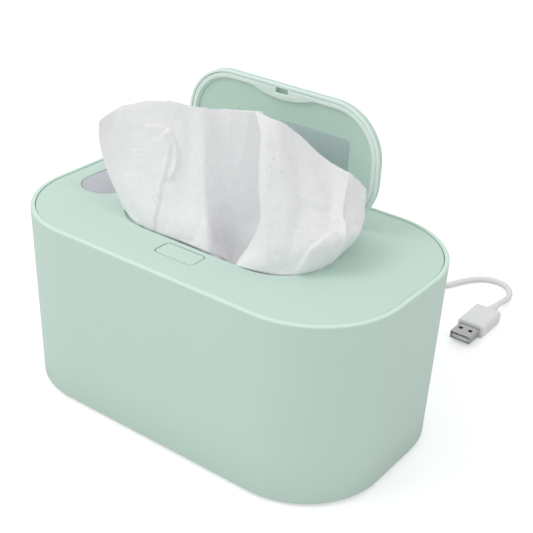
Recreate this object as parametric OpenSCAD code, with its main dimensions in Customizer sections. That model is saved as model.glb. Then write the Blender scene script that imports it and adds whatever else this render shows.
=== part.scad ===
// Baby wipe warmer: a drafted tub-shaped casing with a lift-off cover, a sprung flip lid that a
// front button lets go, a heated inner tub with its stack of wipes, and a USB lead on its back.
// Millimetres. The origin is the middle of the footprint, +X the long way, -Y the front, +Z up.

/* [Body] */
// Length of the casing at its top rim
body_l = 200; // [170:1:250]
// Width of the casing at its top rim
body_w = 119.3; // [112:0.1:150]
// Height of the casing above the table
body_h = 94; // [84:1:120]
// Plan radius of the casing's corners at the rim
corner_r = 44.5; // [38:0.5:50]
// Draft of the casing's wall in degrees
draft_deg = 1.4; // [0.5:0.1:2]
// Thickness of the casing's wall
wall_t = 2.5; // [2:0.1:3]
// Width of the rim that frames the cover
rim_w = 2.2; // [1.6:0.1:3]
// Rounding of the rim's outer edge
rim_r = 0.9; // [0.4:0.1:1.4]
// Thickness of the base plate
base_t = 2.4; // [2:0.1:3]
// Height that the rubber feet stand proud
foot_h = 1.2; // [0.8:0.1:2]
// Diameter of a rubber foot
foot_d = 12; // [8:0.5:16]

/* [Cover] */
// Thickness of the cover's top plate
cover_t = 2.4; // [2:0.1:3]
// How far the cover lies below the rim
cover_drop = 0.4; // [0.2:0.1:1]
// Gap of the seam between the rim and the cover
seam_gap = 0.25; // [0.15:0.05:0.5]
// Depth of the lid's pocket below the cover's face
pocket_d = 7.1; // [6.8:0.1:8]
// Thickness of the pocket's floor and walls
pocket_t = 1.8; // [1.4:0.1:2.2]
// Length of the dispensing opening
mouth_l = 96; // [70:1:98]
// Width of the dispensing opening
mouth_w = 40; // [24:1:44]
// Thickness of the sealing ring under the cover
gasket_t = 1.2; // [0.8:0.1:2]

/* [Lid] */
// Length of the flip lid
lid_l = 110.6; // [96:0.1:116]
// Depth of the flip lid, front to back
lid_w = 59.8; // [54:0.1:62]
// Plan radius of the lid's corners
lid_r = 25.4; // [20:0.1:27]
// Height of the lid's edge
lid_h = 4; // [3.8:0.1:4.6]
// Gap all round the closed lid
lid_gap = 0.5; // [0.3:0.05:0.8]
// Extra room behind the lid, for its lower edge to swing through
lid_swing = 1.4; // [1.2:0.1:2]
// Width of the raised band inside the lid's edge
band_w = 1.9; // [1.2:0.1:3]
// Angle that the lid stands open
lid_open_deg = 90; // [80:0.5:96]
// Diameter of the hinge pin
hinge_pin_d = 2; // [1.6:0.1:2.4]

/* [Button and latch] */
// Length of the button along X
button_l = 22.2; // [16:0.1:26]
// Width of the button along Y
button_w = 10.5; // [8:0.5:11]
// Corner radius of the button
button_r = 2.3; // [1.5:0.1:3.5]
// How far the button travels
button_travel = 0.9; // [0.6:0.1:1]
// Distance from the latch pivot to the button's plunger
latch_arm = 7; // [6:0.5:8]

/* [Display window] */
// Width of the display window
window_w = 24; // [18:1:26]
// Length of the display window
window_l = 36; // [28:1:40]
// Thickness of the window
window_t = 1.4; // [1:0.1:1.6]

/* [Inner tub] */
// Thickness of the tub's wall
tub_t = 1.6; // [1.2:0.1:2]
// Height of the tub's floor above the table
tub_floor_z = 18; // [17:0.5:24]
// Room between the casing's outer face and the tub's outer wall
tub_inset = 8; // [7.5:0.1:10]
// Height of the stack of wipes
stack_h = 42; // [20:1:48]
// Length of the stack of wipes
stack_l = 150; // [120:1:154]
// Width of the stack of wipes
stack_w = 80; // [70:1:84]

/* [Lead] */
// Diameter of the lead
cord_d = 3.4; // [3:0.1:4]
// Turns in each layer of the stored coil
coil_turns = 3; // [1:1:4]
// Radius of the coil's outer turn
coil_r = 25.5; // [20:0.5:30]
// Gap between neighbouring turns
coil_gap = 0.6; // [0.5:0.1:1]

/* [Hidden] */
$fn = 96;
eps = 0.01;
clear = 0.2; // general fit between parts that are slid together
pin_clear = 0.05; // radial, a part that turns on a pin
hold_clear = 0.02; // radial, a pin held by its ears
slide_clear = 0.3; // gap round the button
slot_clear = 0.25; // gap round the inlet and the window

// Heights, from the top down
cover_z = body_h - cover_drop;
shelf_z = cover_z - cover_t;
flange_z = shelf_z - gasket_t;
tub_flange_t = 1.6;
ledge_z = flange_z - tub_flange_t;
pocket_z = cover_z - pocket_d;
shell_z0 = foot_h;
base_top_z = shell_z0 + base_t;

// Widths of the rim's two inner steps
shelf_in = rim_w + 1.5;
flange_in = shelf_in + clear;
ledge_in = shelf_in + 2.5;

// Corner centres that every plan outline shares
cx = body_l / 2 - corner_r;
cy = body_w / 2 - corner_r;
function shell_r(z) = corner_r - (body_h - z) * tan(draft_deg);
function inner_r(z) = shell_r(z) - wall_t;

// Lid, closed: corner centres, height and the hinge behind it
lid_cx = lid_l / 2 - lid_r;
lid_cy = lid_w / 2 - lid_r;
lid_y = -0.2;
lid_back_y = lid_y + lid_w / 2;
lid_z0 = cover_z - lid_h;
lid_top_t = 1.2;
lid_skirt_t = 1.4;
lid_edge_r = 1.2;
groove_w = 0.5;
panel_t = 0.9;
panel_z = cover_z - lid_top_t - panel_t;
band_z = lid_z0 + 0.2;
step_h = 0.8;
step_w = 0.8;
tab_w = 35;
tab_sag = 3.4;
hinge_y = lid_back_y + 3.75;
hinge_z = cover_z - 3.8;
barrel_r = 3.4;
ear_x = 27.5;
ear_t = 4;
knuckle_x = 9;
knuckle_gap = 0.4;
hinge_room_x = ear_x + ear_t + 5.5;
hinge_room_y = hinge_y + 5.4;
hinge_room_z = hinge_z - barrel_r - 0.8;

// Button and latch
button_y = lid_y - lid_w / 2 - lid_gap - pocket_t - 1.1 - button_w / 2;
flange_r = 0.8;
pivot_y = button_y + latch_arm + 0.75;
pivot_z = cover_z - 11.6;
foot_r = 1.3;
foot_y = pivot_y - latch_arm;
plunger_gap = 0.08;
plunger_x = 2.5;
plunger_y = 1.4;
peg_r = 1;
peg_l = 3;
hook_y = pivot_y + 3.8;
hook_t = 1.2;
barb = 0.8;
catch_t = 0.8;
catch_z = band_z + catch_t;
barb_h = 1.15;
hook_room_h = 1.7;
hook_half = 3;
latch_pin_d = 2;
latch_pin_x = 6.4;
latch_hub_r = 2;
hub_x = 3.6;
arm_half_t = 1;
bracket_z = pivot_z - 5.2;
bracket_t = 1.6;
bracket_screw_x = 17;
bracket_x = 20;
bracket_screw_r = 0.9;
bracket_screw_l = 8;
bracket_head_r = 2;
bracket_head_h = 1.1;
ear_in = 4;
ear_w = 2;
post_h = 2.6;
spring_x = 7.5;
spring_z0 = bracket_z + bracket_t + post_h;
spring_z1 = shelf_z - 1.5;

// Display
window_x = -(body_l / 2 - 23.7);
tray_x0 = -(body_l / 2 - 10.5);
tray_x1 = window_x + window_w / 2 + 2;
tray_y = window_l / 2 + 3;
tray_z = flange_z - 11;
window_seat = 1.8;
board_t = 1.6;

// Heater stack below the tub's floor
tub_under_z = tub_floor_z - 1.8;
spreader_t = 1;
film_t = 0.4;
pad_t = 3;
heater_l = 140;
heater_w = 60;

// Power socket and main board
inlet_x = -30;
main_z = base_top_z + 3;
main_l = 60;
main_w = 44;
main_x = inlet_x + 8;
main_y1 = body_w / 2 - 5.1;
socket_w = 8.94;
socket_h = 3.26;
socket_z = main_z + board_t + socket_h / 2;
socket_y = body_w / 2 - (body_h - socket_z) * tan(draft_deg) - 0.4;
plug_gap = 0.7;
plug_c_y = socket_y + plug_gap;
plug_c_l = 18;
relief_c_l = 8;
lead_y = plug_c_y + plug_c_l + relief_c_l;

// Fasteners
screw_rho = shell_r(base_top_z) - wall_t - 4.2;
screw_x = cx + screw_rho * cos(45);
screw_y = cy + screw_rho * sin(45);
boss_r = 3.5;
boss_top_z = tub_under_z - 1.7;
screw_r = 1.25;
screw_l = 8.6;
screw_head_r = 2.9;
pan_head_h = 1;
rib_t = 1.6;
rib_l = 2.6;
support_x = 80;
support_y = 25;
foot_x = 66;
foot_y2 = 38;
foot_sink = 0.8;

// The lead: each route's points, chosen by hand
cord_r = cord_d / 2;
coil_c = [inlet_x + coil_r, 123];
coil_pitch = cord_d + coil_gap;
coil_top_z = cord_r + coil_pitch;
lead_in = [
    [inlet_x, lead_y, socket_z], [inlet_x, 88, socket_z], [inlet_x, 91, 9.4], [inlet_x, 94.5, 8],
    [inlet_x, 98, 6], [inlet_x, 101.5, 4], [inlet_x, 105, 2.5], [inlet_x, 109, 1.8],
    [inlet_x, 112.5, cord_r], [inlet_x, 116, cord_r], [inlet_x, coil_c[1] - cord_d, cord_r]
];
plug_a = [69.5, 150, 4];
relief_a_l = 9;
lead_out = [
    [coil_c[0] + cord_d, coil_c[1] + coil_r, coil_top_z],
    [coil_c[0] + 2 * cord_d, coil_c[1] + coil_r, coil_top_z], [7, 148.9, 4.7], [11.5, 149.9, 3.6],
    [16, 151.4, 2.6], [21.6, 154.2, 1.9], [26.6, 158, cord_r], [30.8, 162.6, cord_r],
    [34.3, 168, cord_r], [37.2, 174, cord_r], [40.2, 180, cord_r], [44.2, 185.6, cord_r],
    [49.6, 189.8, cord_r], [56, 191.2, cord_r], [62.2, 189.2, cord_r], [66.6, 184.4, cord_r],
    [68.9, 178, 1.9], [69.5, 171.4, 2.7], [69.5, 166, 3.6], [69.5, 162.4, 4], [69.5, 159, 4]
];

// The pulled-up wipe: the fold lines from left to right. Each starts where it passes the opening
// and goes over the pocket's edge and up to the sheet's free edge, through points chosen by hand
wipe_t = 1.2;
wipe_top_z = pocket_z + 0.3;
wipe_rows = 15;
wipe_cols = 33;
wipe_tail_z = tub_floor_z + stack_h + 0.8;
wipe_net = [
    [[-41, -8], [-40, -26, 92], [-47, -27, 101], [-54, -27, 112], [-57, -28, 124], [-58, -28, 138]],
    [[-34, -13], [-31, -28, 92], [-38, -28, 101], [-46, -25, 112], [-50, -23, 126], [-50, -22, 146]],
    [[-24, -16], [-24, -28, 92], [-26, -27, 101], [-27, -25, 114], [-25, -23, 131], [-31, -18, 151]],
    [[-15, -17], [-16, -28, 92], [-17, -20, 102], [-18, -14, 113], [-17, -12, 128], [-20, -11, 151]],
    [[-3, -16], [-4, -25.5, 93], [-3, -24, 103], [-3, -21, 118], [-5, -17, 135], [-9, -10, 150]],
    [[9, -17], [13, -25, 92.8], [14, -12, 101], [13, -3, 113], [12, 3, 128], [7, 3, 150]],
    [[20, -17], [23, -28, 92], [30, -25, 104], [29, -19, 120], [23, -12, 139], [14, -2, 151]],
    [[31, -16], [40, -26, 92], [44, -17, 102], [41, -7, 116], [36, 1, 129], [29, 7, 143]],
    [[40, -11], [50, -15, 92], [55, -7, 103], [57, 2, 113], [53, 9, 124], [49, 16, 131]],
    [[44, -2], [53, -3, 92], [57, 9, 100], [58, 18, 104], [56, 23, 112], [54, 25, 121]]
];

// Colours
mint = "#cfe4da";
mint_inner = "#b4cfc1";
pale = "#e9ecec";
steel = "#b9bcc0";
board_green = "#2f6b4a";
rubber = "#4a4f52";

// ---- shared shapes ----

// A section [distance out from the corner centres, height] carried round a rounded rectangle
module swept(hx, hy, section)
    for (turn = [0, 180]) rotate([0, 0, turn]) {
        translate([hx, hy, 0]) rotate_extrude(angle = 90) polygon(section);
        translate([-hx, hy, 0]) rotate([0, 0, 90]) rotate_extrude(angle = 90) polygon(section);
        translate([-hx, hy, 0]) rotate([90, 0, 90]) linear_extrude(2 * hx) polygon(section);
        rotate([0, 0, -90]) translate([-hy, hx, 0]) rotate([90, 0, 90])
            linear_extrude(2 * hy) polygon(section);
    }

// The same with its middle filled between two heights
module filled(hx, hy, section, z0, z1) {
    swept(hx, hy, section);
    translate([-hx, -hy, z0]) cube([2 * hx, 2 * hy, z1 - z0]);
}

// A flat plate with a rounded-rectangle outline
module plate(hx, hy, r, z0, z1)
    translate([0, 0, z0]) linear_extrude(z1 - z0) {
        square([2 * hx, 2 * (hy + r)], center = true);
        square([2 * (hx + r), 2 * hy], center = true);
        for (x = [-hx, hx], y = [-hy, hy]) translate([x, y]) circle(r);
    }

// A stadium standing on z0, long along X
module stadium(l, w, z0, z1)
    translate([0, 0, z0]) linear_extrude(z1 - z0) {
        square([l - w, w], center = true);
        for (x = [-1, 1]) translate([x * (l - w) / 2, 0]) circle(w / 2);
    }

module block(x0, x1, y0, y1, z0, z1) translate([x0, y0, z0]) cube([x1 - x0, y1 - y0, z1 - z0]);

// A round bar along X
module bar(r, x0, x1, y, z) translate([x0, y, z]) rotate([0, 90, 0]) cylinder(r = r, h = x1 - x0);

// A pan-head screw that stands on its head at z0
module screw(head_r, head_h, shank_r, shank_l, z0) translate([0, 0, z0]) {
    cylinder(r = head_r, h = head_h);
    translate([0, 0, head_h - eps]) cylinder(r = shank_r, h = shank_l + eps);
}

// Points of a convex quarter turn about [x, z]
function arc(x, z, r, a0, a1, n = 5) =
    [for (k = [0:n]) let(a = a0 + (a1 - a0) * k / n) [x + r * cos(a), z + r * sin(a)]];

// A round tube of flat-sided rings along a route that never runs straight up
function unit(v) = v / norm(v);
function heading(p, i) = unit(p[min(i + 1, len(p) - 1)] - p[max(i - 1, 0)]);
function ring(p, i, r, sides) =
    let(t = heading(p, i), n = unit(cross(t, [0, 0, 1])), b = cross(n, t))
    [for (k = [0:sides - 1]) let(a = 360 * (k + 0.5) / sides) p[i] + r * (n * cos(a) + b * sin(a))];
module tube(p, r, sides) {
    n = len(p);
    points = [for (i = [0:n - 1]) each ring(p, i, r, sides)];
    walls = [for (i = [0:n - 2], k = [0:sides - 1])
        let(a = i * sides + k, b = i * sides + (k + 1) % sides)
        each [[a, b, a + sides], [b, b + sides, a + sides]]];
    caps = [[for (k = [0:sides - 1]) sides - 1 - k], [for (k = [0:sides - 1]) (n - 1) * sides + k]];
    polyhedron(points, concat(walls, caps), convexity = 8);
}

// ---- casing ----

module outer_shell() color(mint) difference() {
    union() {
        swept(cx, cy, concat(
            [[inner_r(shell_z0), shell_z0], [shell_r(shell_z0) - 0.8, shell_z0],
             [shell_r(shell_z0 + 0.8), shell_z0 + 0.8], [shell_r(body_h - rim_r), body_h - rim_r]],
            arc(corner_r - rim_r, body_h - rim_r, rim_r, 15, 90),
            [[corner_r - rim_w, body_h], [corner_r - rim_w, shelf_z], [corner_r - shelf_in, shelf_z],
             [corner_r - shelf_in, ledge_z], [corner_r - ledge_in, ledge_z],
             [inner_r(ledge_z - 6), ledge_z - 6]]));
        for (sx = [-1, 1], sy = [-1, 1]) screw_boss(sx, sy);
    }
    for (sx = [-1, 1], sy = [-1, 1]) translate([sx * screw_x, sy * screw_y, base_top_z - 1])
        cylinder(r = screw_r + pin_clear, h = screw_l + 1.6);
    inlet_hole();
}

// A screw boss with one rib out to the casing's corner
module screw_boss(sx, sy) translate([sx * screw_x, sy * screw_y, base_top_z]) {
    cylinder(r = boss_r, h = boss_top_z - base_top_z);
    rotate([0, 0, atan2(sy, sx)]) translate([boss_r - 1, -rib_t / 2, 0])
        cube([rib_l, rib_t, boss_top_z - base_top_z]);
}

module inlet_hole() translate([inlet_x, body_w / 2 - 10, socket_z]) rotate([-90, 0, 0])
    linear_extrude(12) capsule(socket_w + 2 * slot_clear, socket_h + 2 * slot_clear);

// A flat capsule across X for plugs and sockets
module capsule(w, h) {
    square([w - h, h], center = true);
    for (x = [-1, 1]) translate([x * (w - h) / 2, 0]) circle(h / 2);
}

module base_plate() color(mint) difference() {
    union() {
        plate(cx, cy, inner_r(shell_z0) - clear, shell_z0, base_top_z);
        for (sx = [-1, 1], sy = [-1, 1]) translate([sx * support_x, sy * support_y, base_top_z - eps])
            cylinder(r = boss_r, h = tub_under_z - base_top_z + eps);
        main_posts(2.5);
    }
    for (sx = [-1, 1], sy = [-1, 1]) {
        translate([sx * screw_x, sy * screw_y, shell_z0 - 1]) {
            cylinder(r = screw_r + 0.3, h = 5);
            cylinder(r = screw_head_r + 0.3, h = pan_head_h + clear + 1);
        }
        translate([sx * foot_x, sy * foot_y2, shell_z0 - 1])
            cylinder(r = foot_d / 2 + clear / 2, h = foot_sink + 1);
    }
    main_spots() translate([0, 0, base_top_z - 1]) cylinder(r = board_screw_r + pin_clear, h = 6);
}

// The main board's four screws, in from its corners
main_in = 4;
board_screw_r = 0.8;
board_head_r = 1.9;
board_screw_l = 4;
board_hole_r = 1.1;
module main_spots() for (x = [-1, 1], y = [0, 1])
    translate([main_x + x * (main_l / 2 - main_in), main_y1 - main_in - y * (main_w - 2 * main_in), 0])
        children();
module main_posts(r) main_spots() translate([0, 0, base_top_z - eps])
    cylinder(r = r, h = main_z - base_top_z + eps);

module rubber_feet() color(rubber) for (sx = [-1, 1], sy = [-1, 1])
    translate([sx * foot_x, sy * foot_y2, 0]) rotate_extrude()
        polygon([[0, 0], [foot_d / 2 - 0.8, 0], [foot_d / 2, 0.8], [foot_d / 2, foot_h + foot_sink],
                 [0, foot_h + foot_sink]]);

module base_screws() color(steel) for (sx = [-1, 1], sy = [-1, 1])
    translate([sx * screw_x, sy * screw_y, 0])
        screw(screw_head_r, pan_head_h, screw_r, screw_l, shell_z0 + clear);

// ---- inner tub and heater ----

tub_r = corner_r - tub_inset;
function tub_lean(z) = (ledge_z - z) * tan(draft_deg);

module inner_tub() color(pale) difference() {
    union() {
        filled(cx, cy, [
            [0, tub_under_z], [tub_r - tub_lean(tub_under_z) - 2, tub_under_z],
            [tub_r - tub_lean(tub_floor_z), tub_floor_z + 0.2], [tub_r, ledge_z],
            [corner_r - flange_in, ledge_z], [corner_r - flange_in, flange_z],
            [tub_r - tub_t, flange_z], [tub_r - tub_t - tub_lean(tub_floor_z + 2), tub_floor_z + 2],
            [tub_r - tub_t - tub_lean(tub_floor_z) - 2, tub_floor_z], [0, tub_floor_z]],
            tub_under_z, tub_floor_z);
        intersection() {
            plate(cx, cy, tub_r - tub_t / 2, tray_z - tub_t, flange_z);
            union() {
                block(-body_l, tray_x1 + tub_t, -body_w, body_w, ledge_z, flange_z);
                block(-body_l, tray_x1 + tub_t, -tray_y - tub_t, tray_y + tub_t, tray_z - tub_t,
                      flange_z);
            }
        }
    }
    block(tray_x0, tray_x1, -tray_y, tray_y, tray_z, flange_z + 1);
    block(-body_l, tray_x0 + 1, ribbon_y - ribbon_w / 2 - 0.4, ribbon_y + ribbon_w / 2 + 0.4,
          ribbon_z - 0.5, ribbon_z + ribbon_t + 0.5);
}

module heat_spreader() color(steel)
    plate(heater_l / 2, heater_w / 2, 5, tub_under_z - spreader_t, tub_under_z);

film_z = tub_under_z - spreader_t - film_t;
pad_z = film_z - pad_t;
notch = [main_x - 12, main_x + 24, main_y1 - main_w - 3, main_y1 - main_w + 9];
bead_r = 1.1;
bead_l = 3.4;
bead_wire_r = 0.3;
fuse_r = 1.6;
fuse_l = 9;
fuse_wire_r = 0.35;
fuse_wire_x = 6;
feed_r = 0.8;

module heater_film() color("#b5512f") {
    plate(heater_l / 2 - 4, heater_w / 2 - 4, 4, film_z, tub_under_z - spreader_t);
}

module insulation_pad() color("#d9d6cc") difference() {
    plate(heater_l / 2, heater_w / 2, 5, pad_z, film_z);
    block(notch[0], notch[1], notch[2], notch[3], pad_z - 1, film_z + 1);
}

// A glass bead with its two wires down to the board
module thermistor() color("#8b5a2b") translate([notch[1] - 4, notch[2] + 6, 0]) {
    translate([0, 0, film_z - bead_r]) rotate([0, 90, 0]) cylinder(r = bead_r, h = bead_l, center = true);
    for (x = [-1, 1]) translate([x, 0, main_z + board_t])
        cylinder(r = bead_wire_r, h = film_z - bead_r - main_z - board_t);
}

// A metal capsule with axial leads bent down to the board
module thermal_fuse() color("#d8d3c6") translate([notch[1] - 16, notch[2] + 6, 0]) {
    translate([0, 0, film_z - fuse_r]) rotate([0, 90, 0]) {
        cylinder(r = fuse_r, h = fuse_l, center = true);
        cylinder(r = fuse_wire_r, h = 2 * (fuse_wire_x + fuse_wire_r), center = true);
    }
    for (x = [-1, 1]) translate([x * fuse_wire_x, 0, main_z + board_t])
        cylinder(r = fuse_wire_r, h = film_z - fuse_r - main_z - board_t);
}

module heater_leads() color("#c23b30") for (x = [3, 6.5])
    translate([notch[0] + x, notch[2] + 7, main_z + board_t])
        cylinder(r = feed_r, h = film_z - main_z - board_t);

// ---- electronics ----

module main_board() color(board_green) difference() {
    block(main_x - main_l / 2, main_x + main_l / 2, main_y1 - main_w, main_y1, main_z,
          main_z + board_t);
    main_spots() translate([0, 0, main_z - 1]) cylinder(r = board_hole_r, h = 4);
}

module board_chips() color("#2b2d30") {
    z = main_z + board_t;
    block(main_x + 2, main_x + 12, main_y1 - 24, main_y1 - 14, z, z + 1.6);
    block(main_x + 16, main_x + 22, main_y1 - 22, main_y1 - 17, z, z + 2);
    block(main_x - 14, main_x - 9, main_y1 - 22, main_y1 - 17, z, z + 1.2);
    for (k = [0:3]) block(main_x + 2 + 4 * k, main_x + 4 + 4 * k, main_y1 - 11, main_y1 - 9.8, z, z + 0.8);
    block(ribbon_x1 - 3.5, ribbon_x1 + 2.5, ribbon_y - 4.5, ribbon_y + 4.5, z, ribbon_floor_z);
}

module board_screws() color(steel) main_spots()
    translate([0, 0, main_z + board_t + pan_head_h]) mirror([0, 0, 1])
        screw(board_head_r, pan_head_h, board_screw_r, board_screw_l, 0);

module usb_socket() color(steel) translate([inlet_x, socket_y, socket_z]) rotate([90, 0, 0]) {
    difference() {
        linear_extrude(7) capsule(socket_w, socket_h);
        translate([0, 0, -1]) linear_extrude(7.2) capsule(socket_w - 0.5, socket_h - 0.5);
    }
    translate([-3.3, -0.3, 1.2]) cube([6.6, 0.6, 5.2]);
}

module display_board() color(board_green) difference() {
    block(tray_x0 + 0.8, tray_x1 - 0.6, -tray_y + 0.8, tray_y - 0.8, tray_z, tray_z + board_t);
    for (y = [-1, 1]) translate([window_x, y * (tray_y - 3), tray_z - 1])
        cylinder(r = board_hole_r, h = 4);
}

// A two-digit display block and one status lamp
module display_module() color("#1f2326") {
    z = tray_z + board_t;
    block(window_x - 6.5, window_x + 6.5, -10.5, 10.5, z, z + 6.4);
    translate([window_x, 13.6, z]) cylinder(r = 1.4, h = 5);
}

ribbon_y = 12.5;
ribbon_w = 6;
ribbon_t = 1;
ribbon_z = tray_z + board_t + 0.8;
ribbon_x0 = -(body_l / 2 - 6.3);
ribbon_x1 = main_x - main_l / 2 + 16;
ribbon_floor_z = main_z + board_t + 1.2;

// A flat cable from the display down the gap beside the tub and along to the main board
module ribbon_run(x0, x1, z0, z1)
    block(x0, x1, ribbon_y - ribbon_w / 2, ribbon_y + ribbon_w / 2, z0, z1);
module display_ribbon() color("#c9ccd0") {
    left = ribbon_x0 - ribbon_t / 2;
    ribbon_run(left, tray_x0 + 4, ribbon_z, ribbon_z + ribbon_t);
    ribbon_run(left, left + ribbon_t, ribbon_floor_z, ribbon_z + ribbon_t);
    ribbon_run(left, ribbon_x1, ribbon_floor_z, ribbon_floor_z + ribbon_t);
    ribbon_run(tray_x0 + 2, tray_x0 + 4, tray_z + board_t, ribbon_z + eps);
}

// ---- cover ----

cover_r = corner_r - rim_w - seam_gap;
pocket_r = lid_r + lid_gap;

module pocket_space(grow, z0) for (back = [0, lid_swing])
    translate([0, lid_y + back, 0]) plate(lid_cx, lid_cy, pocket_r + grow, z0, cover_z + 1);

module hinge_space(grow, z0)
    block(-hinge_room_x - grow, hinge_room_x + grow, hinge_y - 12, hinge_room_y + grow, z0,
          cover_z + 1);

module button_outline(grow, z0, z1) translate([0, button_y, 0])
    plate(button_l / 2 - button_r, button_w / 2 - button_r, button_r + grow, z0, z1);

collar_h = 2.4;
guide_r = tub_r - tub_t - 0.4;
guide_t = 1.5;
guide_h = 5;
rib_x = [66, 78];
cover_rib_t = 1.4;
cover_rib_h = 2.6;
cover_rib_y = 38;
post_r = 2.6;
post_z = bracket_z + bracket_t + 1.2;

module top_cover() color(mint) difference() {
    union() {
        filled(cx, cy, concat([[0, shelf_z], [cover_r, shelf_z], [cover_r, cover_z - 0.3],
            [cover_r - 0.3, cover_z], [0, cover_z]]), shelf_z, cover_z);
        intersection() {
            union() {
                pocket_space(pocket_t, pocket_z - pocket_t);
                hinge_space(pocket_t, hinge_room_z - pocket_t);
            }
            block(-body_l, body_l, -body_w, body_w, 0, shelf_z + eps);
        }
        stadium(mouth_l + 2 * pocket_t, mouth_w + 2 * pocket_t, pocket_z - pocket_t - collar_h, pocket_z);
        difference() {
            swept(cx, cy, [[guide_r, shelf_z + eps], [guide_r, shelf_z - guide_h],
                [guide_r - guide_t, shelf_z - guide_h], [guide_r - guide_t, shelf_z + eps]]);
            block(-body_l, tray_x1 + tub_t + 0.6, -body_w, body_w, 0, shelf_z);
        }
        translate([window_x, 0, shelf_z - 0.9]) rotate([0, 0, 90])
            stadium(window_l + 2, window_w + 2, 0, 0.9 + eps);
        for (x = rib_x) block(x - cover_rib_t / 2, x + cover_rib_t / 2, -cover_rib_y, cover_rib_y,
                              shelf_z - cover_rib_h, shelf_z + eps);
        for (s = [-1, 1]) translate([s * bracket_screw_x, button_y, post_z])
            cylinder(r = post_r, h = shelf_z - post_z + eps);
    }
    pocket_space(0, pocket_z);
    difference() {
        hinge_space(0, hinge_room_z);
        for (s = [-1, 1]) hinge_ear(s);
    }
    stadium(mouth_l, mouth_w, pocket_z - 10, cover_z);
    button_outline(slide_clear, shelf_z - 1, cover_z + 1);
    translate([window_x, 0, 0]) rotate([0, 0, 90]) {
        stadium(window_l - 2 * window_seat, window_w - 2 * window_seat, shelf_z - 2, cover_z + 1);
        stadium(window_l + 2 * slot_clear, window_w + 2 * slot_clear, cover_z - window_t, cover_z + 1);
    }
    block(-hook_half - 1, hook_half + 1, hook_y - 1.7, hook_y + 2.4, pocket_z - pocket_t - 3, pocket_z + 1);
    for (s = [-1, 1]) translate([s * bracket_screw_x, button_y, bracket_z])
        cylinder(r = bracket_screw_r + pin_clear, h = bracket_screw_l + 2);
    bar(hinge_pin_d / 2 + hold_clear, -ear_x - ear_t, ear_x + ear_t, hinge_y, hinge_z);
}

module hinge_ear(s) {
    x0 = s > 0 ? ear_x : -ear_x - ear_t;
    bar(barrel_r - 0.2, x0, x0 + ear_t, hinge_y, hinge_z);
    block(x0, x0 + ear_t, hinge_y - barrel_r + 0.2, hinge_y + barrel_r - 0.2, hinge_room_z - 1, hinge_z);
}

module display_window() color("#bec0c6") translate([window_x, 0, 0]) rotate([0, 0, 90])
    stadium(window_l, window_w, cover_z - window_t, cover_z);

module cover_gasket() color("#f2f2f0") swept(cx, cy, [
    [corner_r - ledge_in + 0.9, flange_z + 0.1], [corner_r - ledge_in + 0.9, shelf_z],
    [corner_r - ledge_in - 1.4, shelf_z], [corner_r - ledge_in - 1.4, flange_z + 0.1]]);

module hinge_pin() color(steel)
    bar(hinge_pin_d / 2, -ear_x - ear_t, ear_x + ear_t, hinge_y, hinge_z);

// A torsion spring round the pin, one end in the lid's knuckle and the other on the cover
spring_wire = 0.6;
spring_mean_r = hinge_pin_d / 2 + 0.9;
spring_turns = 8;
spring_pitch = 1.15;
spring_steps = 8 * spring_turns + 3;
lid_spring_l = spring_pitch * spring_steps / 8;
module lid_spring() color(steel) translate([-lid_spring_l / 2, hinge_y, hinge_z])
    rotate([0, 90, 0]) {
        floor_x = hinge_z - hinge_room_z - spring_wire / 2 - 0.05;
        leg_y = panel_z - hinge_z - spring_wire / 2 - 0.05;
        lean = tan(90 - lid_open_deg);
        tube(concat(
            [[floor_x, -8, 0], [floor_x - 0.3, -5.5, 0], [spring_mean_r + 0.2, -2, 0]],
            [for (k = [0:spring_steps]) let(a = 360 * k / 8)
                [spring_mean_r * cos(a), spring_mean_r * sin(a), spring_pitch * k / 8]],
            [[-2.3, leg_y + 0.5 - 2.3 * lean, lid_spring_l], [-3.6, leg_y - 3.6 * lean, lid_spring_l],
             [-10.5, leg_y - 10.5 * lean, lid_spring_l]]),
            spring_wire / 2, 6);
    }
// Slot through the lid's edge and band for the spring's upper leg
module leg_slot() block(lid_spring_l / 2 - 0.8, lid_spring_l / 2 + 0.8, lid_back_y - 7,
    lid_back_y + 2, lid_z0 - 1, panel_z - 0.05);

// ---- button and latch ----

module latch_bracket() color(pale) difference() {
    union() {
        block(-bracket_x, bracket_x, button_y - 5.5, pivot_y + 2.4, bracket_z, bracket_z + bracket_t);
        for (s = [-1, 1]) {
            translate([s * bracket_screw_x, button_y, bracket_z]) cylinder(r = 3, h = post_z - bracket_z);
            translate([s * spring_x, button_y, bracket_z + bracket_t - eps])
                cylinder(r = 2.9, h = post_h + eps);
            x0 = s > 0 ? ear_in : -ear_in - ear_w;
            block(x0, x0 + ear_w, pivot_y - latch_hub_r, pivot_y + latch_hub_r,
                  bracket_z + bracket_t - eps, pivot_z);
            bar(latch_hub_r, x0, x0 + ear_w, pivot_y, pivot_z);
        }
    }
    for (s = [-1, 1]) translate([s * bracket_screw_x, button_y, bracket_z - 1])
        cylinder(r = bracket_screw_r + 0.3, h = 5);
    bar(latch_pin_d / 2 + hold_clear, -latch_pin_x - 1, latch_pin_x + 1, pivot_y, pivot_z);
}

module bracket_screws() color(steel) for (s = [-1, 1])
    translate([s * bracket_screw_x, button_y, 0])
    screw(bracket_head_r, bracket_head_h, bracket_screw_r, bracket_screw_l, bracket_z - bracket_head_h);

module latch_pin() color(steel) bar(latch_pin_d / 2, -latch_pin_x, latch_pin_x, pivot_y, pivot_z);

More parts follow.
